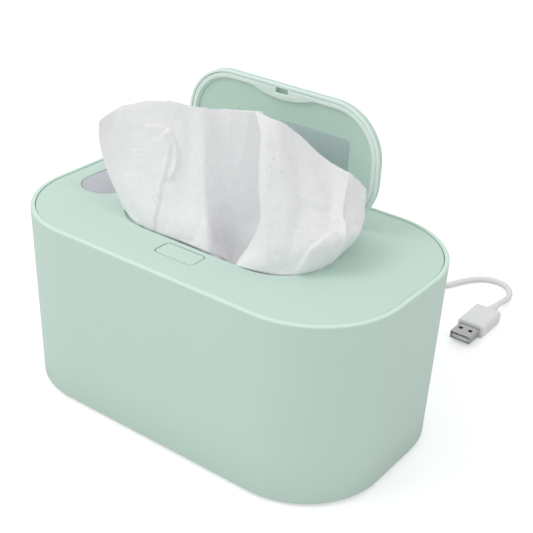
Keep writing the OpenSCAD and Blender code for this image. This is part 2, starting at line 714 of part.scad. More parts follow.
module latch_lever() color(mint_inner) difference() {
    union() {
        bar(latch_hub_r, -hub_x, hub_x, pivot_y, pivot_z);
        bar(foot_r, -hook_half, hook_half, foot_y, pivot_z);
        block(-hook_half, hook_half, foot_y, hook_y + hook_t, pivot_z - arm_half_t, pivot_z + arm_half_t);
        translate([-hook_half, 0, 0]) rotate([90, 0, 90]) linear_extrude(2 * hook_half) polygon([
            [hook_y, pivot_z - arm_half_t], [hook_y + hook_t, pivot_z - arm_half_t],
            [hook_y + hook_t, catch_z + 0.1], [hook_y + hook_t + barb, catch_z + 0.1],
            [hook_y + 0.7, catch_z + barb_h], [hook_y, catch_z + barb_h]]);
    }
    bar(latch_pin_d / 2 + pin_clear, -hub_x - 1, hub_x + 1, pivot_y, pivot_z);
}

module button_cap() color(mint) {
    button_outline(0, shelf_z - 0.4, cover_z - 0.4);
    translate([0, button_y, 0]) {
        plate(button_l / 2 - button_r - 0.4, button_w / 2 - button_r - 0.4, button_r, cover_z - 0.5,
              cover_z);
        plate(button_l / 2 - button_r, button_w / 2 - button_r, button_r + flange_r, spring_z1,
              shelf_z - pin_clear);
        for (s = [-1, 1]) translate([s * spring_x, 0, spring_z1 - peg_l])
            cylinder(r = peg_r, h = peg_l + eps);
    }
    block(-plunger_x, plunger_x, foot_y - plunger_y, foot_y + plunger_y,
          pivot_z + foot_r + plunger_gap, spring_z1 + eps);
}

button_spring_turns = 5;
button_spring_r = 1.9;
button_wire = 0.5;
module button_springs() color(steel) for (s = [-1, 1])
    translate([s * spring_x, button_y, spring_z0 + 0.3])
        tube([for (k = [0:8 * button_spring_turns]) let(a = 360 * k / 8)
            [button_spring_r * cos(a), button_spring_r * sin(a),
             (spring_z1 - spring_z0 - 0.6) * k / (8 * button_spring_turns)]], button_wire / 2, 6);

// ---- lid, drawn closed and then stood open ----

module opened() translate([0, hinge_y, hinge_z]) rotate([-lid_open_deg, 0, 0])
    translate([0, -hinge_y, -hinge_z]) children();

module lid_shell() color(mint) opened() difference() {
    union() {
        translate([0, lid_y, 0]) filled(lid_cx, lid_cy, concat(
            [[0, cover_z - lid_top_t], [lid_r - lid_skirt_t, cover_z - lid_top_t],
             [lid_r - lid_skirt_t, lid_z0], [lid_r - 0.3, lid_z0], [lid_r, lid_z0 + 0.3]],
            arc(lid_r - lid_edge_r, cover_z - lid_edge_r, lid_edge_r, 0, 90),
            [[0, cover_z]]), cover_z - lid_top_t, cover_z);
        for (s = [-1, 1]) {
            x0 = s > 0 ? knuckle_x : -ear_x + knuckle_gap;
            x1 = s > 0 ? ear_x - knuckle_gap : -knuckle_x;
            bar(barrel_r, x0, x1, hinge_y, hinge_z);
            block(x0, x1, lid_back_y - 1, hinge_y, lid_z0, hinge_z + 2.6);
        }
    }
    bar(hinge_pin_d / 2 + pin_clear, -ear_x, ear_x, hinge_y, hinge_z);
    leg_slot();
}

band_r = lid_r - lid_skirt_t - groove_w;
tab_r = (tab_w * tab_w / 4 + tab_sag * tab_sag) / (2 * tab_sag);
tab_y = lid_y - lid_w / 2 + lid_skirt_t + groove_w + band_w + tab_sag;

module lid_liner() color(mint_inner) opened() difference() {
    union() {
        translate([0, lid_y, 0]) {
            plate(lid_cx, lid_cy, lid_r - lid_skirt_t - 0.15, panel_z, panel_z + panel_t);
            swept(lid_cx, lid_cy, [[band_r, panel_z + eps], [band_r, band_z + 0.3], [band_r - 0.3, band_z],
                [band_r - band_w + 0.3, band_z], [band_r - band_w, band_z + 0.3],
                [band_r - band_w, band_z + step_h], [band_r - band_w - step_w, band_z + step_h],
                [band_r - band_w - step_w, panel_z + eps]]);
        }
        intersection() {
            translate([0, lid_y, 0]) plate(lid_cx, lid_cy, band_r - 0.3, band_z, panel_z + eps);
            translate([0, tab_y - tab_r, band_z]) cylinder(r = tab_r, h = lid_h, $fn = 180);
        }
    }
    block(-hook_half - 1.2, hook_half + 1.2, hook_y - 2, hook_y + hook_t + barb + 0.4, catch_z,
          catch_z + hook_room_h);
    block(-hook_half - 0.5, hook_half + 0.5, hook_y - 1.15, hook_y + hook_t + 0.25, band_z - 1,
          catch_z + eps);
    leg_slot();
}

label_l = 40;
label_w = 22;
label_r = 2.5;
label_x = 18;
label_y = -1.6;
label_t = 0.2;
module lid_label() color("#a8bdb9") opened() translate([label_x, label_y, 0])
    plate(label_l / 2 - label_r, label_w / 2 - label_r, label_r, panel_z - label_t, panel_z);

// ---- wipes ----

stack_corner_r = 8;
stack_edge_r = 5;
module wipe_stack() color("#eef0f2") {
    r = stack_corner_r;
    z1 = tub_floor_z + stack_h;
    filled(stack_l / 2 - r, stack_w / 2 - r, concat([[0, tub_floor_z], [r - 2, tub_floor_z],
        [r, tub_floor_z + 2]], arc(r - stack_edge_r, z1 - stack_edge_r, stack_edge_r, 0, 90),
        [[0, z1]]), tub_floor_z, z1);
}

// Where the sheet is at u across and v up, first the hanging tail, then the part in the open
function knot(i) = wipe_net[max(0, min(len(wipe_net) - 1, i))];
function mouth(i) = [knot(i)[0][0], knot(i)[0][1], wipe_top_z];
function between(p0, p1, p2, p3, t) =
    0.5 * (2 * p1 + (p2 - p0) * t + (2 * p0 - 5 * p1 + 4 * p2 - p3) * t * t
           + (3 * p1 - p0 - 3 * p2 + p3) * t * t * t);
function fold(i) = concat([mouth(i)], [for (k = [1:len(knot(i)) - 1]) knot(i)[k]]);
function along(p, v) =
    let(n = len(p), s = v * (n - 1), i = min(floor(s), n - 2))
    between(p[max(0, i - 1)], p[i], p[i + 1], p[min(n - 1, i + 2)], s - i);
function column(i, v) = v < 0
    ? let(m = mouth(i)) [m[0] * (1 + 0.12 * v), m[1] * (1 + 0.5 * v), m[2] + (m[2] - wipe_tail_z) * v]
    : along(fold(i), v);
function sheet_point(u, v) =
    let(s = u * (len(wipe_net) - 1), i = min(floor(s), len(wipe_net) - 2), t = s - i)
    between(column(i - 1, v), column(i, v), column(i + 1, v), column(i + 2, v), t);
function sheet_normal(u, v) =
    let(d = 0.02, a = sheet_point(min(1, u + d), v) - sheet_point(max(0, u - d), v),
        b = sheet_point(u, min(1, v + d)) - sheet_point(u, v - d))
    unit(cross(a, b));

module wipe() color("#e6e6ea") {
    vs = [-1, -0.5, for (k = [0:wipe_rows]) k / wipe_rows];
    rows = len(vs);
    cols = wipe_cols + 1;
    n = rows * cols;
    middle = [for (v = vs, k = [0:wipe_cols]) sheet_point(k / wipe_cols, v)];
    away = [for (v = vs, k = [0:wipe_cols]) sheet_normal(k / wipe_cols, v)];
    points = concat([for (i = [0:n - 1]) middle[i] + away[i] * wipe_t / 2],
                    [for (i = [0:n - 1]) middle[i] - away[i] * wipe_t / 2]);
    faces = [for (r = [0:rows - 2], c = [0:cols - 2]) let(a = r * cols + c, b = a + 1, d = a + cols, e = d + 1)
        each [[a, e, b], [a, d, e], [n + a, n + b, n + e], [n + a, n + e, n + d]]];
    rim = concat([for (c = [0:cols - 1]) c],
                 [for (r = [1:rows - 1]) r * cols + cols - 1],
                 [for (c = [cols - 2:-1:0]) (rows - 1) * cols + c],
                 [for (r = [rows - 2:-1:1]) r * cols]);
    edge = [for (i = [0:len(rim) - 1]) let(a = rim[i], b = rim[(i + 1) % len(rim)])
        each [[a, b, n + b], [a, n + b, n + a]]];
    polyhedron(points, concat(faces, edge), convexity = 10);
}

// ---- lead and plugs ----

plug_c_shell_l = 6.65;
plug_c_shell_w = 8.34;
plug_c_shell_h = 2.56;
plug_c_wall = 0.45;
plug_c_w = 12;
plug_c_h = 6.5;
thumb_r = 3.5;
thumb_d = 0.35;

module plug_c_shell() color(steel) translate([inlet_x, plug_c_y, socket_z]) rotate([90, 0, 0])
    difference() {
        linear_extrude(plug_c_shell_l) capsule(plug_c_shell_w, plug_c_shell_h);
        translate([0, 0, 0.9]) linear_extrude(plug_c_shell_l)
            capsule(plug_c_shell_w - 2 * plug_c_wall, plug_c_shell_h - 2 * plug_c_wall);
    }

module plug_c_body() color("white") translate([inlet_x, plug_c_y, socket_z]) rotate([-90, 0, 0])
    difference() {
        linear_extrude(plug_c_l) capsule(plug_c_w, plug_c_h);
        for (s = [-1, 1]) translate([0, s * (plug_c_h / 2 + thumb_r - thumb_d), plug_c_l - 4])
            rotate([0, 90, 0]) cylinder(r = thumb_r, h = 2 * plug_c_w, center = true);
    }

module plug_c_relief() color("white") translate([inlet_x, plug_c_y + plug_c_l, socket_z])
    rotate([-90, 0, 0]) {
        cylinder(r1 = cord_r + 1, r2 = cord_r + 0.6, h = relief_c_l * 0.6);
        translate([0, 0, relief_c_l * 0.6 - eps])
            cylinder(r1 = cord_r + 0.4, r2 = cord_r + 0.3, h = relief_c_l * 0.4 + eps);
    }

module cord_lead() color("white") tube(lead_in, cord_r, 8);

// Two layers: in along the lower one, up a layer while the spiral reverses, out along the upper
loop_rings = 24;
in_steps = coil_turns * loop_rings;
climb_steps = loop_rings / 2;
out_steps = coil_turns * loop_rings - loop_rings / 4;
coil_steps = in_steps + climb_steps + out_steps;
in_rate = coil_pitch / loop_rings;
coil_in_r = coil_r - in_steps * in_rate;
function coil_radius(k) =
    k <= in_steps ? coil_r - k * in_rate
    : k <= in_steps + climb_steps ? coil_in_r - coil_pitch / 4 * sin(180 * (k - in_steps) / climb_steps)
    : coil_in_r + (k - in_steps - climb_steps) * (coil_r - coil_in_r) / out_steps;
function coil_z(k) =
    cord_r + coil_pitch * min(1, max(0, (k - in_steps) / climb_steps));
function coil_point(k) = let(a = 180 - 360 * k / loop_rings)
    [coil_c[0] + coil_radius(k) * cos(a), coil_c[1] + coil_radius(k) * sin(a), coil_z(k)];
coil_path = concat([[inlet_x, coil_c[1] - cord_d, cord_r], [inlet_x, coil_c[1], cord_r]],
    [for (k = [1:coil_steps]) coil_point(k)],
    [[coil_c[0] + cord_d, coil_c[1] + coil_r, coil_top_z]]);
function path_length(p, i = 0) = i >= len(p) - 1 ? 0 : norm(p[i + 1] - p[i]) + path_length(p, i + 1);
coil_gap_found = min([for (i = [0:len(coil_path) - 1], j = [i + 9:1:len(coil_path) - 1])
    norm(coil_path[i] - coil_path[j])]) - cord_d;
echo(coil_least_gap = coil_gap_found, coil_length = path_length(coil_path),
     lead_length = path_length(lead_in), tail_length = path_length(lead_out));

module cord_coil() color("white") tube(coil_path, cord_r, 6);

module cord_tail() color("white") tube(lead_out, cord_r, 8);

module plug_a_place() translate([plug_a[0], plug_a[1], plug_a[2]]) rotate([90, 0, 0]) children();

module plug_a_relief() color("white") plug_a_place() translate([0, 0, -relief_a_l]) {
    cylinder(r1 = cord_r + 0.5, r2 = cord_r + 0.9, h = relief_a_l / 2 + eps);
    translate([0, 0, relief_a_l / 2]) cylinder(r1 = cord_r + 1.1, r2 = cord_r + 1.5, h = relief_a_l / 2);
}

plug_a_l = 22;
plug_a_w = 15.8;
plug_a_h = 8;
plug_a_r = 1.8;
plug_a_shell_l = 12;
plug_a_shell_w = 12;
plug_a_shell_h = 4.5;
plug_a_wall = 0.3;
insert_w = plug_a_shell_w - 0.8;
insert_h = 1.8;
insert_z = plug_a_wall - plug_a_shell_h / 2;
contact_pitch = 2.4;
contact_t = 0.15;

module plug_a_body() color("white") plug_a_place()
    plate(plug_a_w / 2 - plug_a_r, plug_a_h / 2 - plug_a_r, plug_a_r, 0, plug_a_l);

// A square-edged bar standing on z0
module plate_box(w, h, z0, z1) block(-w / 2, w / 2, -h / 2, h / 2, z0, z1);
window_pitch = 5.8;

module plug_a_shell() color(steel) plug_a_place() difference() {
    plate_box(plug_a_shell_w, plug_a_shell_h, plug_a_l, plug_a_l + plug_a_shell_l);
    plate_box(plug_a_shell_w - 2 * plug_a_wall, plug_a_shell_h - 2 * plug_a_wall, plug_a_l - 1,
              plug_a_l + plug_a_shell_l + 1);
    for (x = [-1, 1]) translate([x * window_pitch / 2, 0, 0])
        plate_box(2.2, plug_a_h, plug_a_l + 4.4, plug_a_l + 6.8);
}

module plug_a_insert() color("white") plug_a_place()
    block(-insert_w / 2, insert_w / 2, insert_z, insert_z + insert_h, plug_a_l, plug_a_l + 10.6);

module plug_a_contacts() color("#d8b44a") plug_a_place()
    for (k = [-1.5:1:1.5]) block(k * contact_pitch - 0.5, k * contact_pitch + 0.5, insert_z + insert_h,
        insert_z + insert_h + contact_t, plug_a_l + 0.4, plug_a_l + 9.8);

outer_shell();
base_plate();
rubber_feet();
base_screws();
inner_tub();
heat_spreader();
heater_film();
insulation_pad();
thermistor();
thermal_fuse();
heater_leads();
main_board();
board_chips();
board_screws();
usb_socket();
display_board();
display_module();
display_ribbon();
wipe_stack();
top_cover();
display_window();
cover_gasket();
hinge_pin();
lid_spring();
latch_bracket();
bracket_screws();
latch_pin();
button_springs();
wipe();
lid_shell();
lid_liner();
lid_label();
button_cap();
latch_lever();
plug_c_shell();
plug_c_body();
plug_c_relief();
cord_lead();
cord_coil();
cord_tail();
plug_a_relief();
plug_a_body();
plug_a_shell();
plug_a_insert();
plug_a_contacts();
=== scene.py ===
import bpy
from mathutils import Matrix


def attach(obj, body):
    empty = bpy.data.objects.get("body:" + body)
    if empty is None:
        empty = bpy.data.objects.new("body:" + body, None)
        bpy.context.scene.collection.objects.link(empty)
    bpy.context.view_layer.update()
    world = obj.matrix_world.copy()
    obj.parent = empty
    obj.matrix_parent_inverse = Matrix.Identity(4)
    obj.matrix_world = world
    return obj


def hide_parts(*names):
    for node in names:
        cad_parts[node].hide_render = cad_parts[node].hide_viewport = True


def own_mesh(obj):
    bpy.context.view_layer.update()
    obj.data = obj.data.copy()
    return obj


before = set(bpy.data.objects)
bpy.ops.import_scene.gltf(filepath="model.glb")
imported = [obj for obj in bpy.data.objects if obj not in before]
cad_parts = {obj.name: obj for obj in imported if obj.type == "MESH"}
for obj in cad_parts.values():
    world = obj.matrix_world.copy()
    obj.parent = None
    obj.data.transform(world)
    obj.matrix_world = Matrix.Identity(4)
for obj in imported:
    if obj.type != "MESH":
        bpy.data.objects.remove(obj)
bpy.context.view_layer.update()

import math

import bmesh
import bpy
from mathutils import Matrix, Vector, noise

# Sizes are written in millimetres and turned to metres where a mesh is made.
MM = 0.001

# ---- the casing's sizes, as in the CAD ----
CORNER_X, CORNER_Y, CORNER_R = 55.5, 15.15, 44.5
BODY_H, DRAFT, WALL = 94.0, math.tan(math.radians(1.4)), 2.5
SHELL_Z0, LEDGE_Z, SHELF_Z, COVER_Z = 1.2, 88.4, 91.2, 93.6
INLET_X, SOCKET_Z = -30.0, 9.83
PLUG_C_Y, PLUG_C_L, RELIEF_C_L = 57.893, 18.0, 8.0
LEAD_Y = PLUG_C_Y + PLUG_C_L + RELIEF_C_L
LID_CX, LID_CY, LID_R, LID_Y = 29.9, 4.5, 25.4, -0.2
LID_Z0, PANEL_Z, BAND_Z, STEP_Z = 89.6, 91.5, 89.8, 90.6
HINGE_Y, HINGE_Z, LID_OPEN = 33.45, 89.8, math.radians(90)
KNUCKLE_R, PIN_BORE_R, KNUCKLES_X = 3.4, 1.05, (9, 27.1)
SPRING_LEG_SLOT = (4.02, 5.62, 22.7, 31.7, 88.6, 91.45)
BUTTON_Y, BUTTON_L, BUTTON_W, BUTTON_R = -38.75, 22.0, 10.3, 2.2
BUTTON_SPRING_X, BUTTON_SPRING_Z0, BUTTON_SPRING_Z1 = 7.5, 81.3, 89.4
SPRING_R, LID_SPRING_WIRE, BUTTON_SPRING_WIRE = 1.9, 0.6, 0.5
WINDOW_X, WINDOW_L, WINDOW_W = -76.3, 36.0, 24.0
SCREW_BOSS_X, SCREW_BOSS_Y, SCREW_BOSS_R, SCREW_BORE_R = 78.97, 38.62, 3.5, 1.3
CORD_D = 3.4
CLOTH_T, STACK_TOP, POCKET_Z = 0.35, 61, 88.2


# ---- the camera, at the photograph's angle ----
def camera_at_the_photographs_angle():
    azimuth, elevation, roll = (math.radians(a) for a in (35.46, 28.605, 2.7186))
    back = Vector((math.sin(azimuth) * math.cos(elevation),
                   -math.cos(azimuth) * math.cos(elevation), math.sin(elevation)))
    right = (-back).cross(Vector((0, 0, 1))).normalized()
    up = right.cross(-back)
    right, up = (right * math.cos(roll) + up * math.sin(roll),
                 up * math.cos(roll) - right * math.sin(roll))
    lens = bpy.data.cameras.new("camera")
    lens.sensor_width, lens.lens, lens.clip_start, lens.clip_end = 36, 75.63, 0.01, 20
    camera = bpy.data.objects.new("camera", lens)
    bpy.context.scene.collection.objects.link(camera)
    turn = Matrix((right, up, back)).transposed().to_4x4()
    camera.matrix_world = Matrix.Translation(Vector((285.24, -372.49, 327.75)) * MM) @ turn
    bpy.context.scene.camera = camera


# ---- working in edit mode ----
def nothing_selected():
    if bpy.context.mode != "OBJECT":
        bpy.ops.object.mode_set(mode="OBJECT")
    bpy.ops.object.select_all(action="DESELECT")


def pick_up(piece):
    nothing_selected()
    piece.select_set(True)
    bpy.context.view_layer.objects.active = piece


def edit(piece):
    pick_up(piece)
    bpy.ops.object.mode_set(mode="EDIT")
    bpy.ops.mesh.select_all(action="SELECT")


def done_editing():
    bpy.ops.object.mode_set(mode="OBJECT")


def choose(piece, test):
    """Selects the points of a piece in edit mode whose place, in mm, passes the test."""
    bpy.context.tool_settings.mesh_select_mode = (True, False, False)
    mesh = bmesh.from_edit_mesh(piece.data)
    for part in (*mesh.faces, *mesh.edges, *mesh.verts):
        part.select = False
    for point in mesh.verts:
        point.select = bool(test(point.co / MM))
    mesh.select_flush(True)
    bmesh.update_edit_mesh(piece.data)


def at_ring(radius, height):
    """A test for the points of a ring round Z."""
    return lambda place: (abs(math.hypot(place.x, place.y) - radius) < 0.02
                          and abs(place.z - height) < 0.02)


def outward(piece):
    """Merges doubled points, then turns every face to look outward."""
    edit(piece)
    bpy.ops.mesh.remove_doubles(threshold=0.002 * MM)
    bpy.ops.mesh.normals_make_consistent(inside=False)
    done_editing()


def apply_modifier(piece, kind, **settings):
    modifier = piece.modifiers.new(kind.lower(), kind)
    for key, value in settings.items():
        setattr(modifier, key, value)
    pick_up(piece)
    bpy.ops.object.modifier_apply(modifier=modifier.name)


def shape_with(piece, tool, operation="DIFFERENCE"):
    """Cuts, joins or crosses a piece with a tool piece, which is used up."""
    apply_modifier(piece, "BOOLEAN", object=tool, operation=operation, solver="EXACT")
    bpy.data.objects.remove(tool)


def soften(piece, width, segments=2, angle=38):
    """Rounds every edge that turns by more than the angle, then shades it smooth."""
    apply_modifier(piece, "BEVEL", width=width * MM, segments=segments, limit_method="ANGLE",
                   angle_limit=math.radians(angle), harden_normals=False,
                   use_clamp_overlap=True, miter_outer="MITER_ARC")
    pick_up(piece)
    bpy.ops.object.shade_smooth_by_angle(angle=math.radians(30))


def place(piece, matrix):
    """Moves a piece's mesh, so that its object stays at the origin."""
    piece.data.transform(matrix)
    piece.data.update()
    return piece


def shifted(piece, x, y, z):
    return place(piece, Matrix.Translation(Vector((x, y, z)) * MM))


# ---- rounded-rectangle shells ----
def drawn_pot(name, section, half_x, half_y, ring="closed", quarter=24):
    """A round pot raised ring by ring through [radius, height], then pulled apart by quarters."""
    nothing_selected()
    radius, height = section[0]
    bpy.ops.mesh.primitive_circle_add(vertices=4 * quarter, radius=radius * MM,
                                      location=(0, 0, height * MM),
                                      rotation=(0, 0, math.pi / (4 * quarter)))
    pot = bpy.context.object
    pot.name = pot.data.name = name
    bpy.ops.object.transform_apply(location=True, rotation=True, scale=True)
    edit(pot)
    for next_radius, next_height in section[1:]:
        bpy.ops.mesh.extrude_region_move(
            TRANSFORM_OT_translate={"value": (0, 0, (next_height - height) * MM)})
        share = next_radius / radius
        bpy.ops.transform.resize(value=(share, share, 1), center_override=(0, 0, next_height * MM))
        radius, height = next_radius, next_height
    first, last = at_ring(*section[0]), at_ring(*section[-1])
    if ring == "closed":
        choose(pot, lambda p: first(p) or last(p))
        bpy.ops.mesh.bridge_edge_loops()
    else:
        for end in (first, last):
            choose(pot, end)
            bpy.ops.mesh.edge_face_add()
    for x in (-1, 1):
        for y in (-1, 1):
            choose(pot, lambda p: p.x * x > 0 and p.y * y > 0)
            bpy.ops.transform.translate(value=(x * half_x * MM, y * half_y * MM, 0))
    outward(pot)
    return pot


def slab(name, half_x, half_y, radius, z0, z1, at=(0, 0), quarter=24):
    """A flat block with round corners, its corners' middles at half_x and half_y."""
    piece = drawn_pot(name, [(radius, z0), (radius, z1)], half_x, half_y, "filled", quarter)
    return shifted(piece, at[0], at[1], 0)


def block(name, x0, x1, y0, y1, z0, z1):
    nothing_selected()
    bpy.ops.mesh.primitive_cube_add(size=1, location=((x0 + x1) / 2 * MM, (y0 + y1) / 2 * MM,
                                                      (z0 + z1) / 2 * MM),
                                    scale=((x1 - x0) * MM, (y1 - y0) * MM, (z1 - z0) * MM))
    piece = bpy.context.object
    piece.name = piece.data.name = name
    bpy.ops.object.transform_apply(location=True, rotation=True, scale=True)
    return piece


def rod(name, radius, length, middle, turn=(0, 0, 0), sides=48):
    nothing_selected()
    bpy.ops.mesh.primitive_cylinder_add(vertices=sides, radius=radius * MM, depth=length * MM,
                                        location=Vector(middle) * MM, rotation=turn)
    piece = bpy.context.object
    piece.name = piece.data.name = name
    bpy.ops.object.transform_apply(location=True, rotation=True, scale=True)
    return piece


ALONG_X = (0, math.pi / 2, 0)


def arc(centre, height, radius, start, end, steps=6):
    """Points of a section's rounded corner, between two angles in degrees."""
    turns = [math.radians(start + (end - start) * k / steps) for k in range(steps + 1)]
    return [(centre + radius * math.cos(a), height + radius * math.sin(a)) for a in turns]


# ---- materials ----
def linear(hex_colour):
    """An sRGB hex colour as Blender's linear colour."""
    parts = [int(hex_colour[k:k + 2], 16) / 255 for k in (1, 3, 5)]
    return (*[c / 12.92 if c <= 0.04045 else ((c + 0.055) / 1.055) ** 2.4 for c in parts], 1)


def add_node(tree, kind, settings=None, values=None, links=None):
    node = tree.nodes.new(kind)
    for key, value in (settings or {}).items():
        setattr(node, key, value)
    for socket, value in (values or {}).items():
        node.inputs[socket].default_value = value
    for socket, source in (links or {}).items():
        tree.links.new(source, node.inputs[socket])
    return node


def per_metre(millimetres):
    """The scale that makes a noise or cell pattern repeat every so many millimetres."""
    return 1000 / millimetres


def surface(name, colour, second, roughness, grain_mm, relief, metallic=0.0, ior=1.46,
            patch_mm=18, patchy=0.5, stretch=(1, 1, 1), edge=None, **shader):
    """A moulded, rolled or drawn surface: two close tones in soft patches over a fine relief.

    With edge=(axis, from, to, colour) the tone passes to a third one between two places in mm."""
    material = bpy.data.materials.new(name)
    material.use_nodes = True
    tree = material.node_tree
    tree.nodes.clear()
    where = add_node(tree, "ShaderNodeTexCoord").outputs["Object"]
    stretched = add_node(tree, "ShaderNodeMapping", values={"Scale": stretch},
                         links={"Vector": where}).outputs["Vector"]
    patches = add_node(tree, "ShaderNodeTexNoise", values={"Scale": per_metre(patch_mm),
                                                          "Detail": 3.0, "Roughness": 0.55},
                       links={"Vector": where}).outputs["Fac"]
    share = add_node(tree, "ShaderNodeMath", {"operation": "MULTIPLY"}, {1: patchy},
                     {0: patches}).outputs[0]
    tone = add_node(tree, "ShaderNodeMix", {"data_type": "RGBA"},
                    {"A": linear(colour), "B": linear(second)},
                    {"Factor": share}).outputs["Result"]
    # the edge tone paints light in: highlights on rims, shade down the sides of gaps
    if edge:
        axis, start, end, third = edge
        measured = add_node(tree, "ShaderNodeSeparateXYZ", links={"Vector": where}).outputs[axis]
        reached = add_node(tree, "ShaderNodeMapRange",
                           values={"From Min": start * MM, "From Max": end * MM},
                           links={"Value": measured}).outputs["Result"]
        tone = add_node(tree, "ShaderNodeMix", {"data_type": "RGBA"}, {"B": linear(third)},
                        {"Factor": reached, "A": tone}).outputs["Result"]
    grain = add_node(tree, "ShaderNodeTexNoise", values={"Scale": per_metre(grain_mm),
                                                        "Detail": 2.0, "Roughness": 0.6},
                     links={"Vector": stretched}).outputs["Fac"]
    satin = add_node(tree, "ShaderNodeMapRange",
                     values={"To Min": roughness - 0.05, "To Max": roughness + 0.05},
                     links={"Value": patches}).outputs["Result"]
    bump = add_node(tree, "ShaderNodeBump", values={"Strength": 0.35, "Distance": relief * MM},
                    links={"Height": grain}).outputs["Normal"]
    body = add_node(tree, "ShaderNodeBsdfPrincipled",
                    values={"Metallic": metallic, "IOR": ior, **shader},
                    links={"Base Color": tone, "Roughness": satin, "Normal": bump})
    add_node(tree, "ShaderNodeOutputMaterial", links={"Surface": body.outputs["BSDF"]})
    return material


# Moulded ABS, satin: a soft broad highlight, spark-eroded grain under half a millimetre
MINT_ABS = surface("moulded_mint_abs", "#CFE6DB", "#C9E2D6", 0.42, 0.45, 0.012)
# The casing's ABS, satin: a paler tone on the rolled rim, set to the photograph's line, is a
# painted highlight
RIM_HIGHLIGHT_ABS = surface("moulded_mint_abs_painted_rim_highlight", "#CFE6DB", "#C9E2D6", 0.42, 0.45, 0.012,
                     edge=("Z", 93.35, 93.85, "#DBF3E7"))
# The button's ABS, satin: a dark tone on its sides stands in for the shade of the gap
BUTTON_ABS = surface("moulded_mint_abs_button", "#CFE6DB", "#C9E2D6", 0.42, 0.45, 0.012,
                     edge=("Z", 93.5, 93.22, "#33554A"))
# The same ABS from the lid's inner tool, polished a little less; its paler tone is painted light
MINT_ABS_INNER = surface("moulded_mint_abs_inner", "#D3EEE0", "#CCE9DA", 0.5, 0.5, 0.012)
# The lid's ABS, satin: a paler tone on its open front's rim, band and tab is a painted highlight
LID_ABS = surface("moulded_mint_abs_lid", "#CFE6DB", "#C9E2D6", 0.42, 0.45, 0.012,
                  edge=("Y", 34.1, 33.6, "#EDFFF6"))
# Inner panel: same ABS, paler as painted light; band and tab paler still, a painted highlight
LID_PANEL_ABS = surface("moulded_mint_abs_lid_panel", "#D6F0E3", "#CFEBDD", 0.5, 0.5, 0.012,
                        edge=("Y", 34.7, 34.1, "#EFFFF8"))
# Smoked acrylic, printed grey behind, smoother than the casing; painted shade darkens its sides
GREY_ACRYLIC = surface("smoked_grey_acrylic", "#BFC1C8", "#BABCC4", 0.22, 2.0, 0.002, ior=1.49,
                       edge=("Z", 93.5, 93.3, "#3F474B"))
# Polyester label film, bare: flat grey-green with a slight sheen
LABEL_FILM = surface("bare_label_film", "#BDCFCD", "#B6C9C7", 0.36, 1.2, 0.004)
# White soft-touch PVC: the lead and the plugs' overmoulds, matte with a faint grain
WHITE_PVC = surface("soft_white_pvc", "#F1F1F2", "#ECECEE", 0.5, 0.6, 0.01, ior=1.52)
# Nickel-plated steel: the plugs' shells, bright, with fine drawing lines along them
NICKEL = surface("nickel_plated_steel", "#C9CACC", "#BDBEC1", 0.24, 0.25, 0.004, metallic=1.0,
                 patch_mm=6, stretch=(8, 1, 8))
# Gold-plated contacts
GOLD = surface("gold_plated_brass", "#E0BC62", "#D6AE4E", 0.28, 0.3, 0.003, metallic=1.0)
# Zinc-plated steel: pins, springs and screws, greyer and duller than nickel
ZINC_STEEL = surface("zinc_plated_steel", "#B4B7BA", "#A5A8AC", 0.34, 0.3, 0.004, metallic=1.0,
                     patch_mm=5)
# Rolled aluminium sheet, with the roll's lines along X
ALUMINIUM = surface("rolled_aluminium_sheet", "#D3D4D6", "#C6C8CB", 0.36, 0.4, 0.004,
                    metallic=1.0, stretch=(1, 12, 12))
# Moulded polypropylene: milky white, waxy
WHITE_PP = surface("moulded_white_polypropylene", "#EDEFEE", "#E7EAE9", 0.46, 0.7, 0.012,
                   ior=1.49)
# Silicone seal, matte and slightly dusty
SILICONE = surface("matte_silicone", "#F0F0EE", "#E6E6E3", 0.62, 0.5, 0.01, ior=1.41)
# Moulded rubber feet, dark grey and dry
RUBBER = surface("moulded_rubber", "#4A4F52", "#43484B", 0.75, 0.6, 0.03, ior=1.52)
# Polyimide heating film over etched foil
AMBER_FILM = surface("amber_polyimide_film", "#B5632F", "#9C4C22", 0.3, 1.5, 0.01, patch_mm=3,
                     patchy=0.9)
# Pressed ceramic felt: woolly, no shine
FELT = surface("pressed_ceramic_felt", "#DBD8CE", "#CBC7BB", 0.9, 0.8, 0.15, patch_mm=4,
               patchy=0.9)
# Solder-masked board: green film with the paler copper tracks under it
GREEN_BOARD = surface("solder_masked_board", "#2C6447", "#3C7D58", 0.35, 1.2, 0.01, patch_mm=2,
                      patchy=0.9)
# Moulded epoxy chips and the display's filter face
BLACK_EPOXY = surface("moulded_black_epoxy", "#2B2D30", "#232528", 0.55, 0.4, 0.01)
BLACK_FILTER = surface("black_filter_acrylic", "#1B1F22", "#171A1D", 0.15, 2.0, 0.002, ior=1.49)
# Silicone-jacketed wire and the dipped sensor bead
RED_SILICONE = surface("red_silicone_jacket", "#C23B30", "#B5342A", 0.5, 0.6, 0.01)
AMBER_RESIN = surface("dipped_amber_resin", "#8B5A2B", "#7C4E23", 0.2, 1.0, 0.004)
# Flat flexible cable
GREY_RIBBON = surface("flat_grey_ribbon", "#C9CCD0", "#BFC3C8", 0.45, 0.9, 0.01,
                      stretch=(1, 6, 1))


